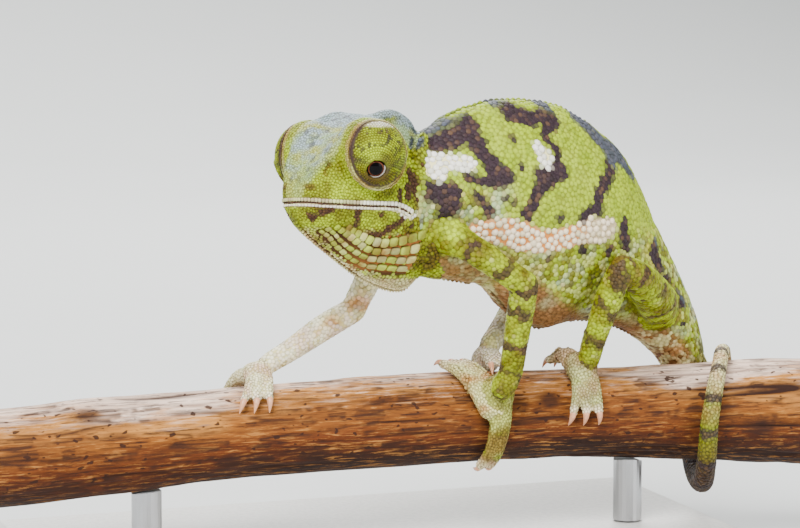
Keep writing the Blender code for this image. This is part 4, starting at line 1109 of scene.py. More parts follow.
def dome_rows():
    """Rings of granules round the opening of each eye turret."""
    seeds = []
    for side in (1, -1):
        m, axis = turret_matrix(side), eye_axis(side)
        centre = m.translation
        flat = axis.to_track_quat("Z", "Y").to_matrix()
        theta = (APERTURE + 0.42) / TURRET_RADIUS
        k = 0
        while theta < 2.2:
            step = 0.33 + 0.05 * min(1.0, k / 6.0)
            count = max(8, int(2 * math.pi * TURRET_RADIUS * math.sin(theta) / step))
            for j in range(count):
                a = 2 * math.pi * (j + 0.5 * (k % 2)) / count
                d = flat @ Vector((math.sin(theta) * math.cos(a), math.sin(theta) * math.sin(a),
                                   math.cos(theta)))
                p = centre + d * TURRET_RADIUS
                x, y, h = m.inverted() @ p
                if side * y > 1.62 and math.hypot(x, h) < 4.12:
                    across = flat @ Vector((-math.sin(a), math.cos(a), 0.0))
                    half = 0.55 * step
                    seeds.append((np.array(p), np.array(across), half, half * 0.92, 0.13, 3))
            theta += step * 0.96 / TURRET_RADIUS
            k += 1
    return seeds


def tree_of(points):
    tree = KDTree(len(points))
    for i, p in enumerate(points.tolist()):
        tree.insert(p, i)
    tree.balance()
    return tree


def scatter(skin, pitch, fixed, rng, crowd=0.84, rounds=8):
    """Evenly crowded seeds over the skin; the fixed ones keep their places."""
    a, b, c = (skin.co[skin.tri[:, k]] for k in range(3))
    area = np.linalg.norm(np.cross(b - a, c - a), axis=1) / 2
    tri_pitch = pitch[skin.tri].mean(1)
    load = area / tri_pitch ** 2
    count = int(7 * load.sum())
    face = np.searchsorted(np.cumsum(load), rng.random(count) * load.sum())
    face = np.minimum(face, len(load) - 1)
    r1, r2 = np.sqrt(rng.random(count)), rng.random(count)
    w0, w1, w2 = (1 - r1)[:, None], (r1 * (1 - r2))[:, None], (r1 * r2)[:, None]
    cand = a[face] * w0 + b[face] * w1 + c[face] * w2
    step = (pitch[skin.tri[face]] * np.hstack([w0, w1, w2])).sum(1)
    tree = tree_of(cand)
    gone = np.zeros(count, bool)
    for p, t, long, wide, _, _ in fixed:
        n = 3 if long > 1.4 * wide else 1
        for k in range(n):
            q = p + t * (long - wide) * (0 if n == 1 else (k - 1))
            for _, i, _ in tree.find_range(q, wide + 0.16):
                gone[i] = True
    chosen = []
    for i, p in enumerate(cand.tolist()):
        if gone[i]:
            continue
        chosen.append(i)
        for _, j, _ in tree.find_range(p, crowd * step[i]):
            gone[j] = True
    points, step = cand[chosen], step[chosen]
    held = np.array([s[0] for s in fixed])
    held_step = np.array([2 * s[3] for s in fixed])
    for _ in range(rounds):
        every = np.vstack([points, held])
        steps = np.concatenate([step, held_step])
        tree = tree_of(every)
        near = np.array([[j for _, j, _ in tree.find_n(p, 8)][1:] for p in points.tolist()])
        off = points[:, None, :] - every[near]
        gap = np.linalg.norm(off, axis=2)
        want = 1.05 * (step[:, None] + steps[near]) / 2
        push = np.clip(want - gap, 0, None) / want
        move = (off / np.maximum(gap, 1e-6)[..., None] * (push * want * 0.32)[..., None]).sum(1)
        points, nor = skin.settle(points + move)
    return points, nor, step


def is_bare(m, n):
    """Where no scale lies: in the eyes, mouth and folds and inside the wood; n of them are free."""
    points, free = m.points, np.arange(len(m.points)) < n
    f, _, z = m.head
    bare = np.zeros(len(points), bool)
    for side in (1, -1):
        reach, away = eye_gap(points, side)
        bare |= (reach > PIT_FLOOR) & (away < APERTURE + 0.22)
        x, y, h = to_local(turret_matrix(side), points).T
        r = np.hypot(x, h)
        bare |= free & (r > 4.0) & (r < 4.34) & (side * y > 1.3) & (side * y < 3.4)
    head_free = free & (m.kind == 1)
    bare |= head_free & (m.lip < 0.13)
    bare |= head_free & (m.groove < 0.20) & (z < -9.4) & (f > THROAT_BACK)
    up = points[:, 2] - np.array([perch_axis(x) for x in points[:, 0]])
    wood = [perch_radius(x, a) for x, a in zip(points[:, 0], np.arctan2(-points[:, 1], up))]
    return bare | (np.hypot(points[:, 1], up) - wood <= -0.05)


def scale_seeds(skin):
    """Every scale of the coat: its place, lie, size, form, colour masks and home on the plan."""
    rng = np.random.default_rng(SEED)
    fixed = lip_rows(skin) + throat_rows(skin) + crest_rows(skin) + rim_rows() + dome_rows()
    held_at, held_lie, *held_size, held_form = (np.array(c) for c in zip(*fixed))
    free, free_nor, step = scatter(skin, pitch_of(markings(skin.co, skin.charts)), fixed, rng)
    held, held_nor = skin.settle(held_at)
    points, nor, n = np.vstack([free, held]), np.vstack([free_nor, held_nor]), len(free)
    m = markings(points, skin.charts)
    layers, kind = m.layers(), m.kind
    form = np.concatenate([np.zeros(n, int), held_form])
    swell = 1.0 + 0.08 * rng.standard_normal(n).clip(-2, 2)
    on_trunk, on_head, bead = kind[:n] == 0, kind[:n] == 1, layers["mark_a"][:n, 1:].max(1) > 0.5
    tall = np.select([on_trunk & ~bead, kind[:n] < 2, kind[:n] < 4], [0.15, 0.30, 0.19], 0.22)
    tall = np.where(on_head & (layers["mark_b"][:n, 1] > 0.5), 0.17, tall)
    wide = np.where(on_trunk & (layers["mark_a"][:n, 2] > 0.5), 0.63, 0.67)
    size = np.stack([step * wide * 1.05 * swell, step * wide * swell, step * tall * swell], 1)
    keep = ~is_bare(m, n)
    home = skin.charts.place(m.chart, m.along, m.angle)
    data = {"nrm": nor, "lie": np.vstack([m.tangent[:n], held_lie]),
            "size": np.vstack([size, np.stack(held_size, 1)]),
            "place": np.c_[home, np.zeros(len(home))], **layers, "pick": rng.random(len(points))}
    hind, right = (skin.charts.named(word, m.chart) for word in ("hind", "right"))
    group = np.select(
        [form == 3, form == 1, form == 2, (kind == 1) & (m.head[2] < -6.3), kind == 1,
         (kind >= 4) & right, kind >= 4, (kind == 3) & hind, kind == 3, kind == 2,
         m.body[0] < 30.0],
        ["eyelids", "shields", "crests", "jaw", "face", "right_feet", "left_feet", "hindlegs",
         "forelegs", "tail", "rump"], "trunk")
    return points[keep], {k: d[keep] for k, d in data.items()}, group[keep]


# ======================================================================================
# shader maths and materials
# ======================================================================================
class Value:
    """One shader socket; sums and products on it add Math nodes."""

    def __init__(self, tree, socket):
        self.tree, self.socket = tree, socket

    def maths(self, operation, *others, clamp=False):
        node = self.tree.nodes.new("ShaderNodeMath")
        node.operation, node.use_clamp = operation, clamp
        for slot, value in zip(node.inputs, (self,) + others):
            if isinstance(value, Value):
                self.tree.links.new(value.socket, slot)
            else:
                slot.default_value = value
        return Value(self.tree, node.outputs[0])

    def __add__(self, other):
        return self.maths("ADD", other)

    __radd__ = __add__

    def __mul__(self, other):
        return self.maths("MULTIPLY", other)

    __rmul__ = __mul__

    def __sub__(self, other):
        return self.maths("SUBTRACT", other)

    def __rsub__(self, other):
        return self.maths("MULTIPLY", -1.0).maths("ADD", other)

    def __truediv__(self, other):
        return self.maths("DIVIDE", other)

    def clamp(self):
        return self.maths("ADD", 0.0, clamp=True)

    def step(self, low, high):
        """0 below low, 1 above high, straight between."""
        return ((self - low) / (high - low)).clamp()


class Paint:
    """Node tree of one material."""

    def __init__(self, name, roughness=0.5, metallic=0.0, **uniform):
        self.material = bpy.data.materials.new(name)
        self.material.use_nodes = True
        self.tree = self.material.node_tree
        self.shader = self.tree.nodes["Principled BSDF"]
        self.shader.inputs["Roughness"].default_value = roughness
        self.shader.inputs["Metallic"].default_value = metallic
        for key, value in uniform.items():
            self.shader.inputs[key.replace("_", " ")].default_value = value
        self.place = self.node("ShaderNodeTexCoord", {}, {}, "Object")

    def node(self, kind, settings, sockets, out=0):
        """Any node: its type, its settings, the values or links of its sockets."""
        node = self.tree.nodes.new(kind)
        for key, value in settings.items():
            if key == "stops":
                ramp = node.color_ramp
                while len(ramp.elements) < len(value):
                    ramp.elements.new(1.0)
                for stop, (at, colour) in zip(ramp.elements, value):
                    stop.position, stop.color = at, (*colour, 1.0)
            else:
                setattr(node, key, value)
        for key, value in sockets.items():
            if isinstance(value, Value):
                self.tree.links.new(value.socket, node.inputs[key])
            elif node.inputs[key].type == "RGBA":
                node.inputs[key].default_value = (*value, 1.0)
            else:
                node.inputs[key].default_value = value
        return Value(self.tree, node.outputs[out])

    def mix(self, factor, first, second, blend="MIX"):
        """Colour between two; factor may be a number or a Value."""
        return self.node("ShaderNodeMix", {"data_type": "RGBA", "blend_type": blend},
                         {0: factor, 6: first, 7: second}, 2)

    def masks(self, name):
        vector = self.node("ShaderNodeAttribute", {"attribute_name": name}, {}, "Vector")
        node = self.tree.nodes.new("ShaderNodeSeparateXYZ")
        self.tree.links.new(vector.socket, node.inputs[0])
        return [Value(self.tree, out) for out in node.outputs]

    def number(self, name):
        return self.node("ShaderNodeAttribute", {"attribute_name": name}, {}, "Fac")

    def noise(self, size, detail=2.0, rough=0.5, vector=None, stretch=0.0):
        """Noise whose grain is about 'size' millimetres."""
        return self.node("ShaderNodeTexNoise", {},
                         {"Vector": vector or self.place, "Scale": 1.0 / (size * MM),
                          "Detail": detail, "Roughness": rough, "Distortion": stretch}, 0)

    def stretched(self, scale):
        return self.node("ShaderNodeMapping", {}, {"Vector": self.place, "Scale": scale})

    def finish(self, colour, roughness=None, height=None, distance=0.02, strength=0.5):
        if isinstance(colour, Value):
            self.tree.links.new(colour.socket, self.shader.inputs["Base Color"])
        else:
            self.shader.inputs["Base Color"].default_value = (*colour, 1.0)
        if roughness is not None:
            self.tree.links.new(roughness.socket, self.shader.inputs["Roughness"])
        if height is not None:
            bump = self.node("ShaderNodeBump", {}, {"Height": height, "Strength": strength,
                                                    "Distance": distance * MM})
            self.tree.links.new(bump.socket, self.shader.inputs["Normal"])
        return self.material


def srgb(r, g, b):
    """Linear colour from the 0-255 values of a paint card."""
    return tuple(((c / 255.0 + 0.055) / 1.055) ** 2.4 if c > 10 else c / 255.0 / 12.92
                 for c in (r, g, b))


def hide_paint(name, looks, coat):
    """Skin or scales: one set of markings, with the skin between the scales darker."""
    p = Paint(name, roughness=0.5, Specular_IOR_Level=0.22)
    dark, white, pink = p.masks("mark_a")
    brown, lilac, pale = p.masks("mark_b")
    orange, lime, blue = p.masks("mark_c")
    grain = p.noise(0.25, 3.0)
    patch = p.noise(3.2, 2.0)
    leaf = p.mix(patch.step(0.35, 0.65), looks.green, looks.green_pale)
    vivid = p.mix(patch.step(0.40, 0.62), looks.lime, looks.lime_deep)
    c = p.mix(lime, leaf, vivid)
    grey = p.mix(patch.step(0.38, 0.58), looks.face_grey, looks.face_tan)
    grey = p.mix(((0.3 - lime) * 5.0).clamp(), grey, looks.casque)
    c = p.mix(lilac, c, grey)
    c = p.mix(pale, c, p.mix((patch + brown * 0.25).step(0.48, 0.68), looks.cream, looks.blush))
    c = p.mix(brown, c, looks.brown)
    c = p.mix(blue, c, looks.slate)
    c = p.mix(pink, c, looks.pink)
    if coat:
        pick = p.number("pick")
        c = p.mix(dark, c, p.mix(pick.step(0.55, 1.0), looks.dark, looks.dark_brown))
        c = p.mix(white, c, looks.white)
        tint = p.mix(pick.step(0.49, 0.51), looks.shade, looks.glow)
        c = p.mix((pick - 0.5).maths("ABSOLUTE") * 0.9, c, tint, "MULTIPLY")
        c = p.mix(0.35, c, p.mix(grain, (0.55, 0.55, 0.55), (1.2, 1.2, 1.2)), "MULTIPLY")
        # Painted shade: each scale darkens toward the crevice tint at its foot, where it meets the
        # skin.
        tip = p.number("tip")
        c = p.mix((1.0 - tip.step(0.1, 0.9)) * 0.85, c, looks.crevice_shade, "MULTIPLY")
        rough = 0.45 + 0.22 * grain
    else:
        c = p.mix(0.6, c, looks.between, "MULTIPLY")
        c = p.mix(orange * (1.0 - brown * 0.55), c, looks.orange)
        c = p.mix(white, c, looks.cream)
        c = p.mix(dark, c, looks.dark)
        rough = 0.5 + 0.3 * grain
    return p.finish(c, rough, p.noise(0.09, 2.0), 0.012, 0.35)


def scale_form(name, sides, rings, square=2.0, foot=0.0):
    """One scale lying along X: rings of (radius, height) closed by a fan; square over 2 is boxier.

    foot lightens the shade at its root."""
    def bent(c):
        return math.copysign(abs(c) ** (2.0 / square), c)

    bm = bmesh.new()
    turns = [2 * math.pi * k / sides for k in range(sides)]
    loops = [[bm.verts.new((radius * bent(math.cos(a)), radius * bent(math.sin(a)), height))
              for a in turns] for radius, height in rings]
    top = bm.verts.new((0.0, 0.0, 1.0))
    for a, b in zip(loops, loops[1:]):
        for k in range(sides):
            bm.faces.new((a[k], a[(k + 1) % sides], b[(k + 1) % sides], b[k]))
    for k in range(sides):
        bm.faces.new((loops[-1][k], loops[-1][(k + 1) % sides], top))
    bm.faces.new(list(reversed(loops[0])))
    mesh = bpy.data.meshes.new(name)
    bm.to_mesh(mesh)
    layer = mesh.uv_layers.new(name="patch")
    for loop in mesh.loops:
        co = mesh.vertices[loop.vertex_index].co
        layer.data[loop.index].uv = (co.x * 0.5, co.y * 0.5)
    bm.free()
    # Height up the scale; the finish paints shade where it is low, and foot lifts it at the root.
    tips = [0.0] * sides + [h for _, h in rings[1:] for _ in range(sides)] + [1.0]
    give(mesh, "tip", [foot + (1.0 - foot) * t for t in tips], "FLOAT")
    mesh.shade_smooth()
    return bpy.data.objects.new(name, mesh)


def coat_tree(name):
    """Geometry nodes: one scale on each seed, turned along its lie, joined to one mesh."""
    tree = bpy.data.node_groups.new(name, "GeometryNodeTree")
    for socket, kind in (("Seeds", "Geometry"), ("Scale", "Object"), ("Unit", "Float"),
                         ("Patch", "Float"), ("Finish", "Material")):
        tree.interface.new_socket(socket, in_out="INPUT", socket_type="NodeSocket" + kind)
    tree.interface.new_socket("Coat", in_out="OUTPUT", socket_type="NodeSocketGeometry")
    link = tree.links.new

    def node(kind, settings=None, sockets=None):
        made = tree.nodes.new(kind)
        for key, value in (settings or {}).items():
            setattr(made, key, value)
        for key, value in (sockets or {}).items():
            if isinstance(value, bpy.types.NodeSocket):
                link(value, made.inputs[key])
            else:
                made.inputs[key].default_value = value
        return made

    def field(attribute):
        return node("GeometryNodeInputNamedAttribute", {"data_type": "FLOAT_VECTOR"},
                    {"Name": attribute}).outputs["Attribute"]

    given = node("NodeGroupInput").outputs
    upright = node("FunctionNodeAlignRotationToVector", {"axis": "Z"}, {"Vector": field("nrm")})
    turned = node("FunctionNodeAlignRotationToVector", {"axis": "X", "pivot_axis": "Z"},
                  {"Rotation": upright.outputs[0], "Vector": field("lie")})
    size = node("ShaderNodeVectorMath", {"operation": "SCALE"},
                {0: field("size"), "Scale": given["Unit"]})
    form = node("GeometryNodeObjectInfo", {}, {"Object": given["Scale"]})
    placed = node("GeometryNodeInstanceOnPoints", {},
                  {"Points": given["Seeds"], "Instance": form.outputs["Geometry"],
                   "Rotation": turned.outputs[0], "Scale": size.outputs[0]})
    real = node("GeometryNodeRealizeInstances", {}, {"Geometry": placed.outputs[0]})
    spot = node("ShaderNodeVectorMath", {"operation": "MULTIPLY_ADD"},
                {0: field("patch"), 2: field("place")})
    link(given["Patch"], spot.inputs[1])
    stored = node("GeometryNodeStoreNamedAttribute", {"data_type": "FLOAT2", "domain": "CORNER"},
                  {"Geometry": real.outputs[0], "Name": "OFBake", "Value": spot.outputs[0]})
    for attribute in ("patch", "nrm", "lie", "size", "place"):
        stored = node("GeometryNodeRemoveAttribute", {},
                      {"Geometry": stored.outputs[0], "Name": attribute})
    done = node("GeometryNodeSetMaterial", {},
                {"Geometry": stored.outputs[0], "Material": given["Finish"]})
    link(done.outputs[0], node("NodeGroupOutput").inputs[0])
    return tree


def realise(name, points, data, form, tree, material, patch):
    """Runs the coat's tree over some seeds and keeps the plain mesh."""
    seeds = bpy.data.meshes.new(name)
    seeds.from_pydata((points * MM).tolist(), [], [])
    for key, values in data.items():
        give(seeds, key, values, "FLOAT" if values.ndim == 1 else "FLOAT_VECTOR")
    obj = new_object(name, seeds)
    grow = obj.modifiers.new("coat", "NODES")
    grow.node_group = tree
    given = {s.name: s.identifier for s in tree.interface.items_tree if s.in_out == "INPUT"}
    for socket, value in (("Scale", form), ("Unit", MM), ("Patch", patch), ("Finish", material)):
        grow[given[socket]] = value
    mesh = evaluated_mesh(obj)
    bpy.data.objects.remove(obj)
    mesh.name = name
    return new_object(name, mesh)


# ======================================================================================
# what each operator builds
# ======================================================================================
FLESH = [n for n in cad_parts
         if not n.startswith("stand_") and n != "perch" and not n.startswith("eyeball")]
EYES = {1: "left", -1: "right"}
store = {}


def skin_of(voxel):
    if "skin" not in store:
        store["skin"] = Skin(voxel)
    return store["skin"]


def add_piece(name, mesh, material, nodes):
    """A finished piece, turned to metres, that stands for some CAD nodes."""
    mesh.name = name
    mesh.transform(Matrix.Scale(MM, 4))
    mesh.shade_smooth()
    mesh.materials.append(material)
    obj = new_object(name, mesh)
    if nodes:
        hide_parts(*nodes)
    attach(obj, "root")


def build_skin(sizes, looks):
    skin = skin_of(sizes.voxel)
    mesh = skin.mesh.copy()
    for key, values in markings(skin.co, skin.charts, bare=True).layers().items():
        give(mesh, key, values)
    add_piece("skin", mesh, hide_paint("skin_finish", looks, False), FLESH)


def build_coat(sizes, looks):
    skin = skin_of(sizes.voxel)
    points, data, group = scale_seeds(skin)
    tree = coat_tree("chameleon_coat")
    finish = hide_paint("scale_finish", looks, True)
    bead = ((1.0, -0.30), (0.86, 0.36), (0.50, 0.82))
    granule = scale_form("granule", 8, bead)
    forms = dict.fromkeys(("trunk", "rump", "forelegs", "hindlegs"),
                          scale_form("plate", 8, bead, foot=0.45))
    forms["shields"] = scale_form("shield", 16, ((1.0, -0.4), (0.96, 0.45), (0.80, 0.90)), 3.4)
    forms["crests"] = scale_form("cone", 8, ((1.0, -0.3), (0.70, 0.40), (0.30, 0.85)))
    for key in sorted(set(group)):
        where = np.flatnonzero(group == key)
        parts = math.ceil(len(where) / sizes.scales_per_piece)
        where = where[np.argsort(points[where, 0], kind="stable")]
        for i, some in enumerate(np.array_split(where, parts)):
            obj = realise("scales_" + key + ("_%d" % (i + 1) if parts > 1 else ""), points[some],
                          {k: d[some] for k, d in data.items()}, forms.get(key, granule), tree,
                          finish, sizes.patch)
            "skin_pale" if key == "right_feet" else "skin"
            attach(obj, "root")


def build_eyes(sizes, looks):
    paint = Paint("eye_finish", roughness=0.08, Specular_IOR_Level=0.08)
    ring, low, _ = paint.masks("iris")
    wavy = ring + paint.noise(0.12, 2.0) * 0.06
    c = paint.mix(wavy.step(0.88, 0.93), looks.pupil, looks.iris)
    c = paint.mix(wavy.step(1.02, 1.07), c, looks.pupil)
    c = paint.mix((ring.step(1.06, 1.12) * low).clamp(), c, looks.sclera)
    material = paint.finish(c)
    for side, word in EYES.items():
        frame_of, centre, axis = turret_matrix(side), eye_centre(side), eye_axis(side)
        place = Matrix.Translation(centre) @ axis.to_track_quat("Z", "Y").to_matrix().to_4x4()
        mesh = ball(place, (sizes.eyeball,) * 3, 64, 48)
        co, _ = vertex_arrays(mesh)
        gaze = (axis + frame_of.to_3x3() @ Vector((0.09, 0.0, 0.08))).normalized()
        reach, away = axis_gap(co, centre, gaze)
        x, _, h = (to_local(frame_of, co) - to_local(frame_of, np.array([centre]))).T
        low = smooth(0.45, 0.8, (-0.45 * x - 0.9 * h) / np.maximum(np.hypot(x, h), 0.01))
        give(mesh, "iris", np.stack([np.where(reach > 0, away, 3.0), low, 0 * away], 1))
        add_piece("eyeball_%s_fine" % word, mesh, material, ["eyeball_" + word])


def build_claws(sizes, looks):
    meshes = []
    for name, bundle in TOE_BUNDLES.items():
        for index in range(bundle[2]):
            path = toe_path(name, index)
            tip, before = path[-1], path[-2]
            out = (tip - before).normalized()
            inward = Vector((0.0, -tip.y, perch_axis(tip.x) - tip.z)).normalized()
            start = tip + out * bundle[4] * 0.30 - inward * 0.1
            points = [start + out * (0.36 * k) + inward * (0.05 * k * k) for k in range(5)]
            meshes.append(ring_tube(points, [0.44, 0.40, 0.31, 0.20, 0.07], steps=3, sides=10))
    paint = Paint("claw_finish", roughness=0.3)
    streak = paint.noise(0.35, 3.0)
    finish = paint.finish(paint.mix(streak, looks.claw, looks.claw_tip), 0.25 + 0.2 * streak,
                          streak, 0.02, 0.3)
    add_piece("claws", join("claws", meshes), finish, [])


def perch_mesh(nx, na):
    """Weathered, peeled stick: long fibres, split checks, sawn ends, and a top pale from wear and
    painted light.
    """
    x = np.linspace(*PERCH_X, nx)
    a = np.linspace(0.0, 2 * math.pi, na, endpoint=False)
    gx, ga = (g.ravel() for g in np.meshgrid(x, a, indexing="ij"))
    base = np.array([perch_radius(p, q) for p, q in zip(gx, ga)])
    height = np.array([perch_axis(p) for p in x])
    shell = np.stack([gx, 6.0 * -np.sin(ga), 6.0 * np.cos(ga)], 1)
    grain = shell * np.array((0.07, 1.0, 1.0)) + fuzz(shell, 14.0, 40)[:, None] * 0.5
    fibre = 0.6 * fuzz(grain, 0.42, 41) + 0.4 * fuzz(grain, 0.2, 42)
    split = 1.0 - np.abs(fuzz(grain * np.array((0.7, 1.0, 1.0)), 1.9, 44)) * 6.0
    split = np.clip(split, 0, 1) * smooth(-0.1, 0.35, fuzz(shell, 9.0, 45))
    peel = smooth(0.05, 0.30, fuzz(shell * np.array((0.25, 1.0, 1.0)), 3.4, 46) + 0.25 * fibre)
    knots = np.zeros(len(gx))
    for kx, kd in KNOTS:
        gap = np.hypot((gx - kx) / 1.6, ((np.degrees(ga) - kd + 180) % 360 - 180) * 0.105)
        knots = np.maximum(knots, smooth(1.7, 0.4, gap))
    lump = 0.28 * fuzz(shell, 7.0, 47) + 0.10 * fuzz(grain, 1.1, 43)
    r = base - 0.14 + 0.5 * lump + 0.12 * fibre - 0.34 * split - 0.10 * peel + 0.10 * knots
    r = r - 0.35 * smooth(0.5, 0.0, np.minimum(gx - PERCH_X[0], PERCH_X[1] - gx))
    co = np.stack([gx, r * -np.sin(ga), height.repeat(na) + r * np.cos(ga)], 1).reshape(nx, na, 3)
    # Facing up: the top is painted paler (partly weathering, partly painted light) and the
    # underside darker (painted shade).
    top = np.cos(ga - math.radians(8))
    marks = np.stack([fibre, split, peel, top, knots], 1).reshape(nx, na, 5)
    rings, notes = list(co), list(marks)
    for end in (0, -1):
        centre = np.array((x[end], 0.0, height[end]))
        for share in (0.72, 0.44, 0.18):
            at = len(rings) if end else 0
            rings.insert(at, centre + (co[end] - centre) * share)
            notes.insert(at, np.tile((math.sin(share * 22.0), 0.0, 1.0, 0.2, 0.4), (na, 1)))
    here = np.arange(len(rings) * na).reshape(-1, na)
    turned = np.roll(here, -1, axis=1)
    quads = np.stack([here[:-1], turned[:-1], turned[1:], here[1:]], 2).reshape(-1, 4).tolist()
    verts, notes = np.concatenate(rings), np.concatenate(notes)
    mesh = bpy.data.meshes.new("perch_wood")
    mesh.from_pydata(verts.tolist(), [], quads + [here[0].tolist()[::-1], here[-1].tolist()])
    bm = bmesh.new()
    bm.from_mesh(mesh)
    bmesh.ops.recalc_face_normals(bm, faces=bm.faces)
    bm.to_mesh(mesh)
    bm.free()
    give(mesh, "wood_a", notes[:, :3])
    # Painted shadow of the animal over the middle of the perch.
    animal_shadow = smooth(-45.0, -12.0, verts[:, 0]) * smooth(48.0, 20.0, verts[:, 0])
    give(mesh, "wood_b", np.c_[notes[:, 3:], animal_shadow])
    return mesh


def build_perch(sizes, looks):
    p = Paint("wood_finish", roughness=0.8, Specular_IOR_Level=0.25)
    fibre, split, _ = p.masks("wood_a")
    top, knot, animal_shadow = p.masks("wood_b")
    thread = p.noise(0.34, 4.0, 0.7, p.stretched((0.09, 1.0, 1.0)), 0.3)
    band = p.noise(0.9, 4.0, 0.65, p.stretched((0.10, 1.0, 1.0)), 0.5)
    cloud = p.noise(6.0, 3.0, 0.55, p.stretched((0.3, 1.0, 1.0)))
    vein = p.noise(1.3, 1.0, 0.5, p.stretched((0.06, 1.0, 1.0)), 0.3)
    crack = (1.0 - (vein - 0.5).maths("ABSOLUTE") * 14.0).clamp()
    crack = crack * p.noise(3.2, 2.0).step(0.46, 0.54)
    # Painted light and shade: the level rises on the top, partly weathered grey and partly painted
    # light, falls on the underside as painted shade, and drops under the animal as its painted
    # shadow.
    level = top * 0.5 + 0.5 + (cloud - 0.5) * 0.6 + (band - 0.5) * 0.4 - animal_shadow * 0.12
    c = p.node("ShaderNodeValToRGB", {"stops": ((0.10, looks.wood_dark), (0.40, looks.wood_deep),
                                                (0.68, looks.wood), (0.84, looks.wood_tan),
                                                (0.94, looks.wood_grey))}, {"Fac": level})
    # Threads turn grey toward the top: partly weathering, partly painted light.
    pale = p.mix((top * 0.5 + 0.5).step(0.8, 0.95), looks.wood_tan, looks.wood_grey)
    c = p.mix(((thread - 0.53) * 8.0).clamp() * 0.75, c, pale)
    c = p.mix(((0.47 - thread) * 9.0).clamp() * 0.7, c, looks.wood_dark)
    c = p.mix(((band - 0.55) * 7.0).clamp() * 0.75, c, looks.wood_streak, "MULTIPLY")
    c = p.mix((0.3 - fibre * 0.9).clamp() * 0.8, c, looks.wood_streak, "MULTIPLY")
    specks = p.noise(0.8, 1.0, 0.5, p.stretched((0.6, 1.0, 1.0))).step(0.67, 0.71)
    for dark in (crack * 0.85, (split * 1.3).clamp(), (knot * 0.8).clamp(), specks * 0.9):
        c = p.mix(dark, c, looks.wood_dark)
    finish = p.finish(c, 0.7 + 0.25 * thread, thread + fibre * 0.3, 0.10, 0.7)
    add_piece("perch_wood", perch_mesh(sizes.perch_rings, sizes.perch_sides), finish,
              ["perch"])


def build_stand(sizes, looks):
    base = Paint("stand_base_finish", roughness=0.4)
    speck = base.noise(0.7, 4.0, 0.6)
    colour = base.mix(speck.step(0.42, 0.6), looks.base, tuple(0.88 * c for c in looks.base))
    base_finish = base.finish(colour, 0.36 + 0.16 * speck, speck, 0.03, 0.25)
    rod = Paint("stand_rod_finish", roughness=0.3, metallic=1.0)
    brush = rod.noise(0.10, 3.0, 0.6, rod.stretched((1.0, 1.0, 0.04)))
    rod_finish = rod.finish(rod.mix(brush, looks.rod, tuple(0.8 * c for c in looks.rod)),
                            0.22 + 0.2 * brush, brush, 0.01, 0.3)
    for name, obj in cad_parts.items():
        if name.startswith("stand_"):
            obj.data.materials.clear()
            obj.data.materials.append(base_finish if name == "stand_base" else rod_finish)


# Lights: place, width and share of the key light's power. All aim at the middle of the animal.
LIGHTS = {"key": ((-0.35, -0.45, 0.62), 0.45, 1.0), "fill": ((0.45, -0.50, 0.25), 0.5, 0.22),
          "back": ((0.15, 0.50, 0.50), 0.4, 0.45)}
AIM = Vector((0.0, 0.0, 0.04))
CAMERA_AT = Vector((-0.1455206, -0.4037514, 0.0950613))
CAMERA_AZIMUTH, CAMERA_ELEVATION = math.radians(-20.0), math.radians(7.0)
CAMERA_LENS = 145.38


def area_light(name, place, width, power):
    light = bpy.data.lights.new(name, "AREA")
    light.shape = "RECTANGLE"
    light.size = light.size_y = width
    light.energy = power
    obj = bpy.data.objects.new(name, light)
    obj.location = place
    obj.rotation_euler = (AIM - Vector(place)).to_track_quat("-Z", "Y").to_euler()
    bpy.context.scene.collection.objects.link(obj)


def build_stage(looks):
    """Pale seamless floor and backdrop, soft lights and the camera."""
    rows = [(-1.2, 0.0), (0.5, 0.0)]
    for k in range(1, 13):
        t = math.radians(90.0 * k / 12.0)
        rows.append((0.5 + 0.5 * math.sin(t), 0.5 - 0.5 * math.cos(t)))
    rows.append((1.0, 1.8))
    verts, faces = [], []
    for y, z in rows:
        verts += [(-2.0, y, z), (2.0, y, z)]
    for i in range(len(rows) - 1):
        faces.append((2 * i, 2 * i + 1, 2 * i + 3, 2 * i + 2))
    mesh = bpy.data.meshes.new("backdrop")
    mesh.from_pydata(verts, [], faces)
    mesh.shade_smooth()
    p = Paint("floor_finish", roughness=0.85)
    mesh.materials.append(p.finish(p.mix(p.noise(40.0, 2.0), looks.floor,
                                         tuple(0.97 * c for c in looks.floor))))
    floor = new_object("backdrop", mesh)
    world = bpy.data.worlds.new("studio")
    bpy.context.scene.world = world
    world.use_nodes = True
    world.node_tree.nodes["Background"].inputs[0].default_value = (0.93, 0.97, 1.0, 1.0)
    world.node_tree.nodes["Background"].inputs[1].default_value = looks.world
    for name, (place, width, share) in LIGHTS.items():
        area_light(name, place, width, looks.key * share)
    level = math.cos(CAMERA_ELEVATION)
    right = Vector((math.cos(CAMERA_AZIMUTH), math.sin(CAMERA_AZIMUTH), 0.0))
    back = Vector((right.y * level, -right.x * level, math.sin(CAMERA_ELEVATION)))
    camera = bpy.data.cameras.new("camera")
    camera.sensor_width = 36.0
    camera.lens = CAMERA_LENS
    camera.clip_start = 0.01
    obj = bpy.data.objects.new("camera", camera)
    turn = Matrix((right, back.cross(right), back)).transposed()
    obj.matrix_world = Matrix.Translation(CAMERA_AT) @ turn.to_4x4()
    bpy.context.scene.collection.objects.link(obj)
    bpy.context.scene.camera = obj


# ======================================================================================
# add-on: settings, operators and panel
# ======================================================================================
def colour_setting(name, description, value):
    return FloatVectorProperty(name=name, description=description, default=value, subtype="COLOR",
                               size=3, min=0.0, max=1.0)


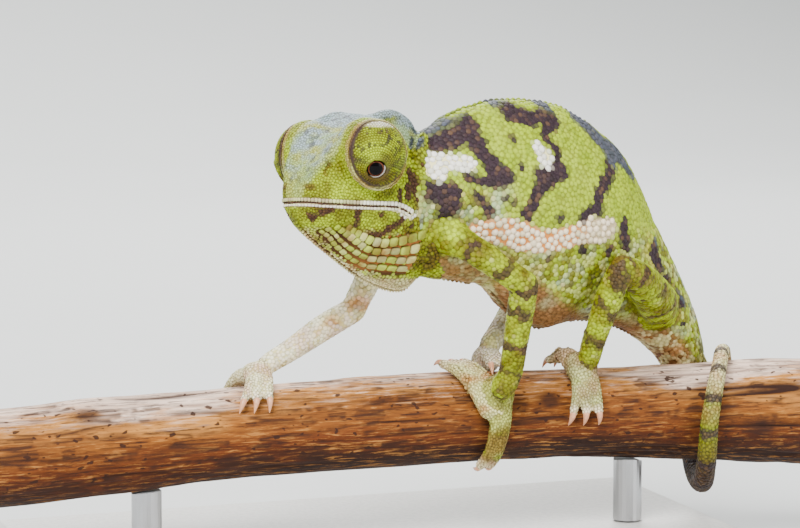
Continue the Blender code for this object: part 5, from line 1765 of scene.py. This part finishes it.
class ChameleonSizes(bpy.types.PropertyGroup):
    voxel: FloatProperty(name="Skin cell", description="Cell that fuses the flesh, in mm",
                         default=0.33, min=0.15, max=1.0)
    eyeball: FloatProperty(name="Eyeball", description="Radius of an eyeball, in mm", default=1.6,
                           min=1.0, max=1.7)
    patch: FloatProperty(name="Plan patch", description="Size of a scale on the skin's flat plan",
                         default=0.003, min=0.0005, max=0.01)
    scales_per_piece: IntProperty(name="Scales a piece", default=4200, min=500, max=6000,
                                  description="Most scales that share one mesh")
    perch_rings: IntProperty(name="Perch rings", description="Rings along the perch", default=500,
                             min=50, max=900)
    perch_sides: IntProperty(name="Perch sides", description="Points round the perch", default=180,
                             min=24, max=300)


class ChameleonLooks(bpy.types.PropertyGroup):
    green: colour_setting("Green", "Flank scales", srgb(146, 170, 14))
    green_pale: colour_setting("Pale green", "Lighter flank scales", srgb(178, 200, 50))
    lime: colour_setting("Yellow-green", "Cheek and turret scales", srgb(172, 194, 0))
    lime_deep: colour_setting("Deep yellow-green", "Deeper cheek scales", srgb(118, 122, 0))
    face_grey: colour_setting("Face grey", "Cool part of the face", srgb(158, 182, 138))
    casque: colour_setting("Casque", "Lilac-grey ridge of the head", srgb(156, 174, 182))
    face_tan: colour_setting("Face tan", "Warm part of the face", srgb(176, 180, 96))
    cream: colour_setting("Cream", "Throat crest, belly and pale feet", srgb(240, 230, 170))
    blush: colour_setting("Blush", "Pinkish part of the belly", srgb(208, 150, 94))
    brown: colour_setting("Brown", "Brown patches", srgb(84, 50, 4))
    slate: colour_setting("Slate", "Blue-grey patches", srgb(84, 92, 106))
    pink: colour_setting("Stripe pink", "Bead scales of the side stripe", srgb(246, 226, 196))
    orange: colour_setting("Orange", "Bare skin under the stripe", srgb(206, 128, 56))
    dark: colour_setting("Dark", "Dark bands", srgb(50, 35, 42))
    dark_brown: colour_setting("Dark brown", "Warm scales in the bands", srgb(90, 66, 50))
    white: colour_setting("White", "White patches and lips", srgb(248, 244, 236))
    between: colour_setting("Between", "Tint of skin between scales", srgb(150, 140, 80))
    # Painted shade at the foot of each scale.
    crevice_shade: colour_setting("Crevice", "Tint of the foot of each scale", srgb(88, 72, 28))
    shade: colour_setting("Shade", "Tint of the darker scales", srgb(170, 176, 120))
    glow: colour_setting("Glow", "Tint of the lighter scales", srgb(255, 255, 235))
    pupil: colour_setting("Pupil", "Pupil", srgb(6, 5, 6))
    iris: colour_setting("Iris", "Ring round the pupil", srgb(96, 50, 30))
    sclera: colour_setting("Lid edge", "Pale edge inside the lids", srgb(225, 215, 205))
    claw: colour_setting("Claw", "Claws", srgb(226, 172, 130))
    claw_tip: colour_setting("Claw shade", "Darker part of the claws", srgb(186, 118, 84))
    wood: colour_setting("Wood", "Bare fibres", srgb(138, 80, 22))
    wood_deep: colour_setting("Deep wood", "Wood between fibres", srgb(98, 46, 8))
    wood_tan: colour_setting("Tan wood", "Weathered patches", srgb(186, 126, 58))
    # Pale top of the perch: partly weathering, partly painted light.
    wood_grey: colour_setting("Grey wood", "Worn top", srgb(226, 198, 178))
    wood_streak: colour_setting("Wood streaks", "Tint of the dark threads", srgb(120, 96, 76))
    # Dark wood: real splits and knots, and painted shade on the underside.
    wood_dark: colour_setting("Dark wood", "Splits, knots and underside", srgb(40, 18, 8))
    base: colour_setting("Base", "Painted base", srgb(206, 204, 198))
    rod: colour_setting("Rod", "Steel rods", srgb(190, 190, 192))
    floor: colour_setting("Floor", "Floor and backdrop", srgb(214, 216, 214))
    world: FloatProperty(name="Sky", description="Strength of the even light", default=0.38,
                         min=0.0)
    key: FloatProperty(name="Key", description="Power of the key light, in watts", default=16.0,
                       min=0.0)


def settings(context):
    return context.scene.chameleon_sizes, context.scene.chameleon_looks


class CHAMELEON_OT_skin(bpy.types.Operator):
    """Fuse the flesh into one skin and carve its folds"""
    bl_idname = "chameleon.skin"
    bl_label = "Skin"

    def execute(self, context):
        build_skin(*settings(context))
        return {"FINISHED"}


class CHAMELEON_OT_coat(bpy.types.Operator):
    """Lay the scales, lip shields, throat rows and crests over the skin"""
    bl_idname = "chameleon.coat"
    bl_label = "Scales"

    def execute(self, context):
        build_coat(*settings(context))
        return {"FINISHED"}


class CHAMELEON_OT_eyes(bpy.types.Operator):
    """Set both eyeballs between their lids"""
    bl_idname = "chameleon.eyes"
    bl_label = "Eyes"

    def execute(self, context):
        build_eyes(*settings(context))
        return {"FINISHED"}


class CHAMELEON_OT_claws(bpy.types.Operator):
    """Put a claw on each toe"""
    bl_idname = "chameleon.claws"
    bl_label = "Claws"

    def execute(self, context):
        build_claws(*settings(context))
        return {"FINISHED"}


class CHAMELEON_OT_perch(bpy.types.Operator):
    """Carve the weathered perch"""
    bl_idname = "chameleon.perch"
    bl_label = "Perch"

    def execute(self, context):
        build_perch(*settings(context))
        return {"FINISHED"}


class CHAMELEON_OT_stand(bpy.types.Operator):
    """Finish the stand's base and rods"""
    bl_idname = "chameleon.stand"
    bl_label = "Stand"

    def execute(self, context):
        build_stand(*settings(context))
        return {"FINISHED"}


class CHAMELEON_OT_stage(bpy.types.Operator):
    """Lay the floor, the lights and the camera"""
    bl_idname = "chameleon.stage"
    bl_label = "Stage"

    def execute(self, context):
        build_stage(settings(context)[1])
        return {"FINISHED"}


STEPS = (CHAMELEON_OT_stage, CHAMELEON_OT_skin, CHAMELEON_OT_coat, CHAMELEON_OT_eyes,
         CHAMELEON_OT_claws, CHAMELEON_OT_perch, CHAMELEON_OT_stand)


class CHAMELEON_PT_panel(bpy.types.Panel):
    """The makers of the model, in the order they are run"""
    bl_idname = "CHAMELEON_PT_panel"
    bl_label = "Chameleon"
    bl_space_type = "VIEW_3D"
    bl_region_type = "UI"
    bl_category = "Chameleon"

    def draw(self, context):
        for step in STEPS:
            self.layout.operator(step.bl_idname)


CLASSES = (ChameleonSizes, ChameleonLooks) + STEPS + (CHAMELEON_PT_panel,)


def register():
    for cls in CLASSES:
        bpy.utils.register_class(cls)
    bpy.types.Scene.chameleon_sizes = PointerProperty(type=ChameleonSizes)
    bpy.types.Scene.chameleon_looks = PointerProperty(type=ChameleonLooks)


def unregister():
    del bpy.types.Scene.chameleon_sizes
    del bpy.types.Scene.chameleon_looks
    for cls in reversed(CLASSES):
        bpy.utils.unregister_class(cls)


def main():
    register()
    for step in STEPS:
        group, name = step.bl_idname.split(".")
        getattr(getattr(bpy.ops, group), name)()


if __name__ == "__main__":
    main()
